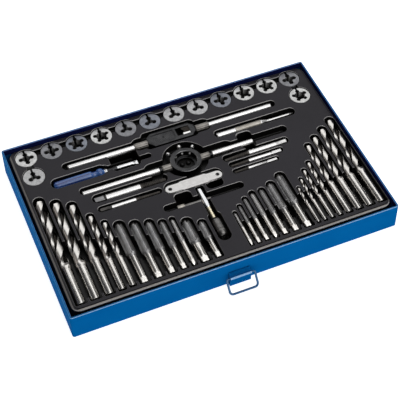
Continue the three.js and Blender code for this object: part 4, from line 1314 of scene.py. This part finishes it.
def add_extractor(node, large, small, square, spiral, flip):
    """A squared end, a ground shank, and a tapered working end with steep left-hand ridges."""
    left, right, y, top = x_place(node)
    axis = top - max(large, square * DIAGONAL) / 2
    length = right - left
    sides, steps, ridges, twist = 100, 72, 7, 1.6
    angles = circle(sides)
    squared = squared_radii(square, sides, 1.36)
    neck, shank = np.full(sides, 0.86 * large / 2), np.full(sides, large / 2)
    start = length - spiral
    places = [0, 0.15, 0.6, 11, 12, 13, 13.5, start - 0.6, start]
    radii = [squared * 0.8, squared * 0.93, squared, squared, neck, neck, shank, shank, shank]
    for k in range(1, steps + 1):
        share = k / steps
        size = (large + (small - large) * share) / 2
        ridge = (ridges * (angles / TAU + twist * share)) % 1
        edge = 1 - 0.2 * min(1, share * 8) * np.sin(math.pi * ridge ** 0.7) ** 1.2
        places.append(start + spiral * share)
        radii.append(size * edge)
    places.append(length + 0.01)
    radii.append(radii[-1] * 0.7)
    bar = along_x(skin(bar_rings(places, np.array(radii), angles)), flip)
    shape = moved(bar, right if flip else left, y, axis)
    piece = add_piece(node + "_finished", shape, BAR_BRIGHT, node, sharp=36)

    def along(x):
        return right - x if flip else x - left

    # On extractors whose square is on the left: dark steel on extractor_2's square end and on every neck is
    # painted shade; extractor_1's square is grey
    if not flip:
        finish = SQUARED if node == "extractor_1" else DIE_BORE
        second_material(piece, finish, lambda x, *_: along(x) < 12.5)
        second_material(piece, DIE_BORE, lambda x, *_: 11 < along(x) < 13.6)
    second_material(piece, SPIRAL, lambda x, *_: along(x) > start)


# Thread pitch gauge

def gauge_outline(reach, end, middle, shoulder):
    """A plate with two round ends and a wider middle."""
    right = arc(reach, 0, end, -QUARTER, QUARTER, 20)
    left = arc(-reach, 0, end, QUARTER, 3 * QUARTER, 20)
    step = 2.2
    return np.concatenate([
        right, [(shoulder, end), (shoulder - step, middle), (step - shoulder, middle), (-shoulder, end)],
        left, [(-shoulder, -end), (step - shoulder, -middle), (shoulder - step, -middle), (shoulder, -end)],
    ])


def leaf_outline(reach, teeth=13, pitch=1.3, depth=0.6):
    """A gauge leaf: a narrow strip whose front edge is cut as a row of thread teeth."""
    start, crest = -teeth * pitch / 2, -5.6
    row = [(start + k * pitch / 2, crest if k % 2 else crest + depth) for k in range(2 * teeth + 1)]
    return [
        (-reach, -3.8), (start - 2, crest + depth), *row, (2 - start, crest + depth), (reach, -3.8),
        (reach, 3.4), (-reach, 3.4),
    ]


def add_gauge():
    """Two plates with a fan of toothed leaves between them, on two hollow screws."""
    node = "thread_pitch_gauge"
    left, right, y, top = x_place(node)
    middle = (left + right) / 2
    span, hole, screw, sheet, thick = 29, 3.4, 4.6, 0.8, 3.2
    for name, low in (("top", top - sheet), ("bottom", top - thick)):
        holes = [post(side * span, 0, hole, low - 1, low + 2) for side in (-1, 1)]
        mesh = carved(plate(gauge_outline(span, 5.4, 6.6, 17), low, low + sheet), *holes)
        cover = shifted(mesh, middle, y)
        add_piece(f"pitch_gauge_{name}_plate", cover, SATIN, node, replaces=name == "top", bevel=0.15)
    leaves, pitch, leaf = 5, 0.32, 0.24
    for k in range(leaves):
        low = top - thick + sheet + 0.08 + pitch * k
        shape = moved(plate(leaf_outline(26.5), low, low + leaf), middle + 0.5 * k, y - 0.9 + 0.35 * k)
        add_piece(f"pitch_gauge_leaf_{k + 1}", shape, BAR_BRIGHT, node, replaces=False)
    for side, name in ((-1, "left"), (1, "right")):
        loop = [
            (1.1, top - thick + 0.1), (1.65, top - thick + 0.1), (1.65, top + 0.02), (screw / 2, top + 0.02),
            (screw / 2 - 0.15, top + 0.2), (1.3, top + 0.2), (1.1, top),
        ]
        ring = moved(ring_lathe(loop, 36), middle + side * span, y)
        add_piece(f"pitch_gauge_{name}_screw", ring, BLACKENED, node, replaces=False)


# Bar tap wrench

SCREW_BORE = 5.2


def octagon(cut, inset):
    """The block's outline, an oblong with cut corners, drawn in by an inset all round."""
    side, edge, cut = BLOCK_SIDE - inset, BLOCK_EDGE - inset, cut - inset * (2 - DIAGONAL)
    return [
        (-side + cut, -edge), (side - cut, -edge), (side, -edge + cut), (side, edge - cut),
        (side - cut, edge), (-side + cut, edge), (-side, edge - cut), (-side, -edge + cut),
    ]


def grip_profile(start, end, diameter):
    return capped((start, diameter), (end - 1.1, diameter), (end, diameter - 1.6))


def wrench_block(top, axis):
    """A block with rounded edges, a shallow panel, a window, and a bore for the screw."""
    thick, cut = BLOCK_THICK, 6
    levels = [
        (0, 0.6), (0.2, 0.2), (0.6, 0),
        (thick - 0.9, 0), (thick - 0.55, 0.1), (thick - 0.2, 0.4), (thick, 0.9),
    ]
    rings = np.array([at_height(octagon(cut, inset), top - thick + z) for z, inset in levels])
    window = plate(corner_loop(6.2, 23.2, -6, 6, [1] * 4, 5), top - thick - 2, top + 2)
    panel = plate(corner_loop(-24, 3.5, -6.6, 6.6, [1.2] * 4, 5), top - 0.8, top + 2)
    mark = post(-10.2, 0, 1.9, top - 2.4, top + 2, 20)
    return carved(skin(rings), window, panel, mark, x_bore(14, 40, SCREW_BORE, 0, axis))


def add_bar_wrench():
    """The block with its fixed handle, the handle that turns with its screw, and the jaw."""
    node, turning = "tap_wrench_body", "tap_wrench_handle"
    _, _, y, top = x_place(node)
    axis = top - BLOCK_THICK / 2
    block = shifted(wrench_block(top, axis), 0, y)
    add_piece("tap_wrench_block", block, BLACKENED, node, sharp=30, bevel=0.3)
    collar, length, joint = 17, 99, 0.4
    for name, owner, flip, start in (
        ("fixed", node, True, joint - BLOCK_SIDE), ("turning", turning, False, BLOCK_SIDE + joint),
    ):
        place = (start, y, axis)
        shape = moved(along_x(fluted_collar(0, collar, 9.4), flip), *place)
        add_piece(f"tap_wrench_{name}_collar", shape, COLLAR, owner, sharp=45, replaces=owner == turning)
        grip = grip_profile(collar - 0.2, length - 0.5, TAP_GRIP)
        add_x_bar(f"tap_wrench_{name}_grip", grip, BAR_BRIGHT, owner, place, flip=flip)
    screw_left = extent(turning)[0][0]
    screw = moved(along_x(threaded_bar(screw_left, BLOCK_SIDE + 0.6, 4.4, 1)), 0, y, axis)
    add_piece("tap_wrench_screw", screw, BAR_BRIGHT, turning, replaces=False, sharp=50)
    add_jaw(y, axis)


def add_jaw(y, axis):
    """The sliding jaw: a dark block with a ground bevel along its front and a V that grips the tap."""
    low, high = extent("tap_wrench_jaw")
    bevel, drop, notch_half, notch_depth = 2.6, 1.2, 3.4, 2.2
    front = low[1] + bevel
    profile = [
        (low[1], low[2]), (high[1], low[2]), (high[1], high[2] - 0.3), (high[1] - 0.3, high[2]),
        (front, high[2]), (low[1], high[2] - drop),
    ]
    corners = [(low[0] - 1, y - notch_half), (low[0] + notch_depth, y), (low[0] - 1, y + notch_half)]
    notch = plate(corners, low[2] - 1, high[2] + 1)
    bore = x_bore(high[0] - 6.2, high[0] + 3, SCREW_BORE, y, axis)
    block = carved(drawn_along_x(profile, low[0], high[0]), notch, bore)
    jaw = add_piece("tap_wrench_sliding_jaw", block, FLUTE_DARK, "tap_wrench_jaw", bevel=0.12)
    second_material(jaw, BAR_BRIGHT, lambda _, py, pz: py < front and pz > high[2] - drop)


# Die stock

STOCK_RADIUS = 18.5


def set_screw(z):
    """A pointed set screw along +Y with a slotted head."""
    profile = [
        (11.4, 0.3), (12.2, 2.4), (12.6, 3.8), (21.8, 3.8), (22, 5.2), (25, 5.2), (25.6, 4.4), (25.6, 0.4),
    ]
    slot = box(-0.5, 0.5, 24.9, 27, z - 4, z + 4)
    return carved(moved(turned(profile, 32, soft=0.25), 0, 0, z), slot)


def add_stock_ring(node, y, top):
    """The ring, with a stepped bore and a painted highlight on its top edges."""
    bottom, outer, bore, ledge, ledge_height = top - STOCK_HEIGHT, STOCK_RADIUS, 13, 10, 3
    loop = softened([
        (bottom, 2 * ledge + 2), (bottom, 2 * outer), (top, 2 * outer), (top, 2 * bore),
        (bottom + ledge_height, 2 * bore), (bottom + ledge_height, 2 * ledge), (bottom, 2 * ledge),
        (bottom, 2 * ledge + 1.9),
    ], 1.1)
    ring = moved(ring_lathe([(diameter / 2, z) for z, diameter in loop], 120), STOCK_MIDDLE, y)
    stock = add_piece("die_stock_ring", ring, BLACKENED, node, sharp=50)

    # The rounded top edges, inner and outer, take the lighter steel as a painted highlight
    def on_rim_highlight(px, py, pz):
        return pz > top - 0.75 and not bore + 0.55 < math.hypot(px - STOCK_MIDDLE, py - y) < outer - 0.55

    second_material(stock, EDGE_HIGHLIGHT, on_rim_highlight)


def add_set_screws(node, y, top):
    """Three set screws through the ring's back, dark on the thread where it shows."""
    for k, degrees in enumerate((88, 50, 130)):
        screw = set_screw(top - 4)
        aim = Matrix.Rotation(math.radians(degrees - 90), 4, "Z")
        screw.transform(Matrix.Translation((STOCK_MIDDLE * MM, y * MM, 0)) @ aim)
        piece = add_piece(f"die_stock_set_screw_{k + 1}", screw, BAR_BRIGHT, node, replaces=False)
        second_material(
            piece, BLACKENED, lambda px, py, _: 14 < math.hypot(px - STOCK_MIDDLE, py - y) < 21.7,
        )


def add_die_stock():
    """A ring with its set screws, and two handles with collars and necks."""
    node = "die_stock"
    left, right, y, top = x_place(node)
    add_stock_ring(node, y, top)
    add_set_screws(node, y, top)
    place = (STOCK_MIDDLE, y, top - STOCK_HEIGHT / 2)
    collar_end, neck_end, joint = STOCK_RADIUS + 11, STOCK_RADIUS + 14.4, 0.3
    for name, flip, reach in (("left", True, STOCK_MIDDLE - left), ("right", False, right - STOCK_MIDDLE)):
        collar = moved(along_x(fluted_collar(STOCK_RADIUS - 1.4, collar_end, 9, 12), flip), *place)
        add_piece(f"die_stock_{name}_collar", collar, COLLAR, node, sharp=45, replaces=False)
        neck = capped((collar_end - joint, 6), (neck_end + joint, 6))
        add_x_bar(f"die_stock_{name}_neck", neck, BLACKENED, node, place, flip=flip)
        grip = grip_profile(neck_end, reach, STOCK_GRIP)
        add_x_bar(f"die_stock_{name}_grip", grip, BAR_BRIGHT, node, place, flip=flip)


# T handle tap wrench

def add_tee_piece(name, shape, material, owner, **more):
    add_piece("tee_" + name, shape, material, "tee_wrench_" + owner, **more)


def add_tee_shaft(place, nose, neck, bar_y):
    """A sleeve that the bar goes through, a threaded neck, and a spigot inside the chuck."""
    x, _, z = place
    back = extent("tee_wrench_shaft")[1][1]
    sleeve = capped((neck + 17.5, 7.2), (neck + 19, 8.6), (back - 0.9, 8.6), (back, 7))
    drilled = carved(moved(turned(sleeve, 64, soft=0.4), *place), x_bore(x - 9, x + 9, 5.2, bar_y, z))
    add_tee_piece("shaft_sleeve", drilled, CHROME, "shaft")
    thread = moved(threaded_bar(neck - 0.1, neck + 17.8, 7.3, 0.8, 0.25, 64), *place)
    add_tee_piece("shaft_neck", thread, BRASSY, "shaft", replaces=False, sharp=50)
    spigot = moved(turned(capped((nose + 12.4, 6.1), (neck, 6.1)), soft=0.3), *place)
    add_tee_piece("shaft_spigot", spigot, BAR_BRIGHT, "shaft", replaces=False)


def tee_jaws(place, nose):
    """A round bar cut by a square hole and by two slots, which leave four jaws."""
    x, _, z = place
    bar = capped((nose + 0.3, 5.2), (nose + 1.4, 6.5), (nose + 11.8, 6.5))
    square, slot, reach = 1.6, 0.35, 4
    cuts = ((square, square, 9), (slot, reach, 10), (reach, slot, 10))
    return carved(
        moved(turned(bar), *place),
        *[box(x - wide, x + wide, nose - 1, nose + deep, z - tall, z + tall) for wide, tall, deep in cuts],
    )


def add_tee_chuck(place, nose, neck):
    """A domed nose, a knurled sleeve and a crown, bored through, with the jaws inside."""
    bore = moved(turned([(nose - 2, 6.8), (neck + 2, 6.8)]), *place)
    dome = [
        (0, 6.9), (0, 8.4), (0.5, 9.6), (1.4, 11), (2.7, 12.3), (4.2, 13.2),
        (5.8, CHUCK), (8.4, CHUCK), (8.9, 12.8), (9.4, 12.8), (9.4, 6.9),
    ]
    crown = [(-5.5, 6.9), (-5.5, 12.8), (-3.6, 12.8), (-0.6, 10.4), (0, 9.6), (0, 6.9)]
    for name, shape, more in (
        ("nose", turned([(nose + at, wide) for at, wide in dome], 72, soft=0.25), {}),
        ("sleeve", knurl(nose + 9.3, neck - 5.4, CHUCK, 1.1, 0.22, 160), {"replaces": False, "sharp": 50}),
        ("crown", turned([(neck + at, wide) for at, wide in crown], 64, soft=0.4), {"replaces": False}),
    ):
        add_tee_piece("chuck_" + name, carved(moved(shape, *place), bore), OILED, "chuck", **more)
    add_tee_piece("chuck_jaws", tee_jaws(place, nose), BAR_BRIGHT, "chuck", replaces=False)


def add_tee_wrench():
    """A shaft, a chuck that turns on it, and a bar with a knob that slides through it."""
    low, high = extent("tee_wrench_chuck")
    place = ((low[0] + high[0]) / 2, 0, LAND + PROUD - CHUCK / 2)
    bar_low, bar_high = extent("tee_wrench_bar")
    bar_start = (bar_low[0], (bar_low[1] + bar_high[1]) / 2, place[2])
    add_tee_shaft(place, low[1], high[1], bar_start[1])
    add_tee_chuck(place, low[1], high[1])
    knob = moved(along_x(fluted_collar(0, 9, 6.6, 10, 0.3)), *bar_start)
    add_tee_piece("bar_knob", knob, KNURLED, "bar", sharp=45)
    rod = grip_profile(8.8, bar_high[0] - bar_low[0], 4.6)
    add_x_bar("tee_bar_rod", rod, OILED, "tee_wrench_bar", bar_start)


# Studio

def camera_axes(azimuth, elevation, roll):
    """A camera's right, up and back directions; azimuth 0 looks from the front."""
    back = Vector((
        math.sin(azimuth) * math.cos(elevation),
        -math.cos(azimuth) * math.cos(elevation),
        math.sin(elevation),
    ))
    level = (-back).cross(Vector((0, 0, 1))).normalized()
    upright = level.cross(-back)
    right = math.cos(roll) * level + math.sin(roll) * upright
    up = -math.sin(roll) * level + math.cos(roll) * upright
    return right, up, back


def add_camera():
    """The photo's camera, as it was fitted to the drawer's edges and the dies."""
    data = bpy.data.cameras.new("photo_camera")
    data.sensor_width = 36
    data.lens = 107.88
    data.shift_x = data.shift_y = -0.1
    data.clip_start = 0.01
    azimuth, elevation, roll = -24.487, 48.365, 1.099
    axes = camera_axes(math.radians(azimuth), math.radians(elevation), math.radians(roll))
    matrix = Matrix(axes).transposed().to_4x4()
    matrix.translation = Vector((-323.19, -827.26, 1064.35)) * MM
    camera = add_object("photo_camera", data)
    camera.matrix_world = matrix
    bpy.context.scene.camera = camera


WHITE = (1, 1, 1)
WARM = (1, 0.88, 0.78)
AIM = (0, 0, 0.02)
LIGHTS = {
    # place, width, depth, radiance, colour
    "overhead_softbox": ((0.44, -0.40, 1.50), 1.6, 1.7, 1.05, WHITE),
    "key_softbox": ((0.47, -0.64, 1.52), 0.7, 0.6, 1.2, WHITE),
    "back_softbox": ((0.21, 1.0, 1.25), 1.86, 1.2, 0.95, WHITE),
    "right_back_softbox": ((1.3, 1.0, 0.75), 0.5, 0.6, 0.9, WHITE),
    "left_back_softbox": ((-1.2, 1.0, 0.42), 0.6, 0.85, 0.36, WARM),
    "front_softbox": ((-0.2, -1.7, 0.75), 1.6, 0.7, 1.0, WHITE),
}


def add_area_light(name, place, width, depth, radiance, colour):
    data = bpy.data.lights.new(name, "AREA")
    data.shape = "RECTANGLE"
    data.size = width
    data.size_y = depth
    data.energy = radiance * math.pi * width * depth
    data.color = colour
    light = add_object(name, data)
    light.location = place
    light.rotation_euler = (Vector(AIM) - Vector(place)).to_track_quat("-Z", "Y").to_euler()


def add_floor():
    """A wide pale floor that glows a little, so that it stays white round the drawer."""
    shader = Shader("floor_pale_paper", None, Roughness=0.9, Specular_IOR_Level=0.1, Emission_Strength=0.85)
    shader.set("Emission Color", (1, 1, 1, 1))
    fibre = shader.noise(60, detail=5)
    shader.set("Base Color", shader.ramp(fibre, (0.3, (0.90, 0.90, 0.90)), (0.7, (0.94, 0.94, 0.94))))
    reach, below = 6, 0.1 * MM
    mesh = bpy.data.meshes.new("floor")
    corners = [(-reach, -reach, 0), (reach, -reach, 0), (reach, reach, 0), (-reach, reach, 0)]
    mesh.from_pydata(corners, [], [(0, 1, 2, 3)])
    mesh.materials.append(shader.material)
    floor = add_object("floor", mesh)
    floor.location.z = -below


def add_studio():
    add_floor()
    world = bpy.data.worlds.new("studio")
    world.use_nodes = True
    background = world.node_tree.nodes["Background"]
    background.inputs["Color"].default_value = (0.95, 0.97, 1, 1)
    background.inputs["Strength"].default_value = 0.05
    bpy.context.scene.world = world
    for name, light in LIGHTS.items():
        add_area_light(name, *light)
    bpy.context.scene.view_settings.view_transform = "Standard"


add_camera()
add_studio()
add_drawer()
add_handle()
add_insert()
for k, (lobes, finish) in enumerate(zip(DIE_LOBES, DIE_FINISHES)):
    add_die(f"die_{k + 1:02d}", lobes, finish)
for drill, sizes in DRILLS.items():
    add_drill(drill, *sizes)
for tap, sizes in TAPS.items():
    add_tap(tap, *sizes)
add_screwdriver()
add_centre_punch()
for extractor, sizes in EXTRACTORS.items():
    add_extractor(extractor, *sizes)
add_gauge()
add_bar_wrench()
add_die_stock()
add_tee_wrench()
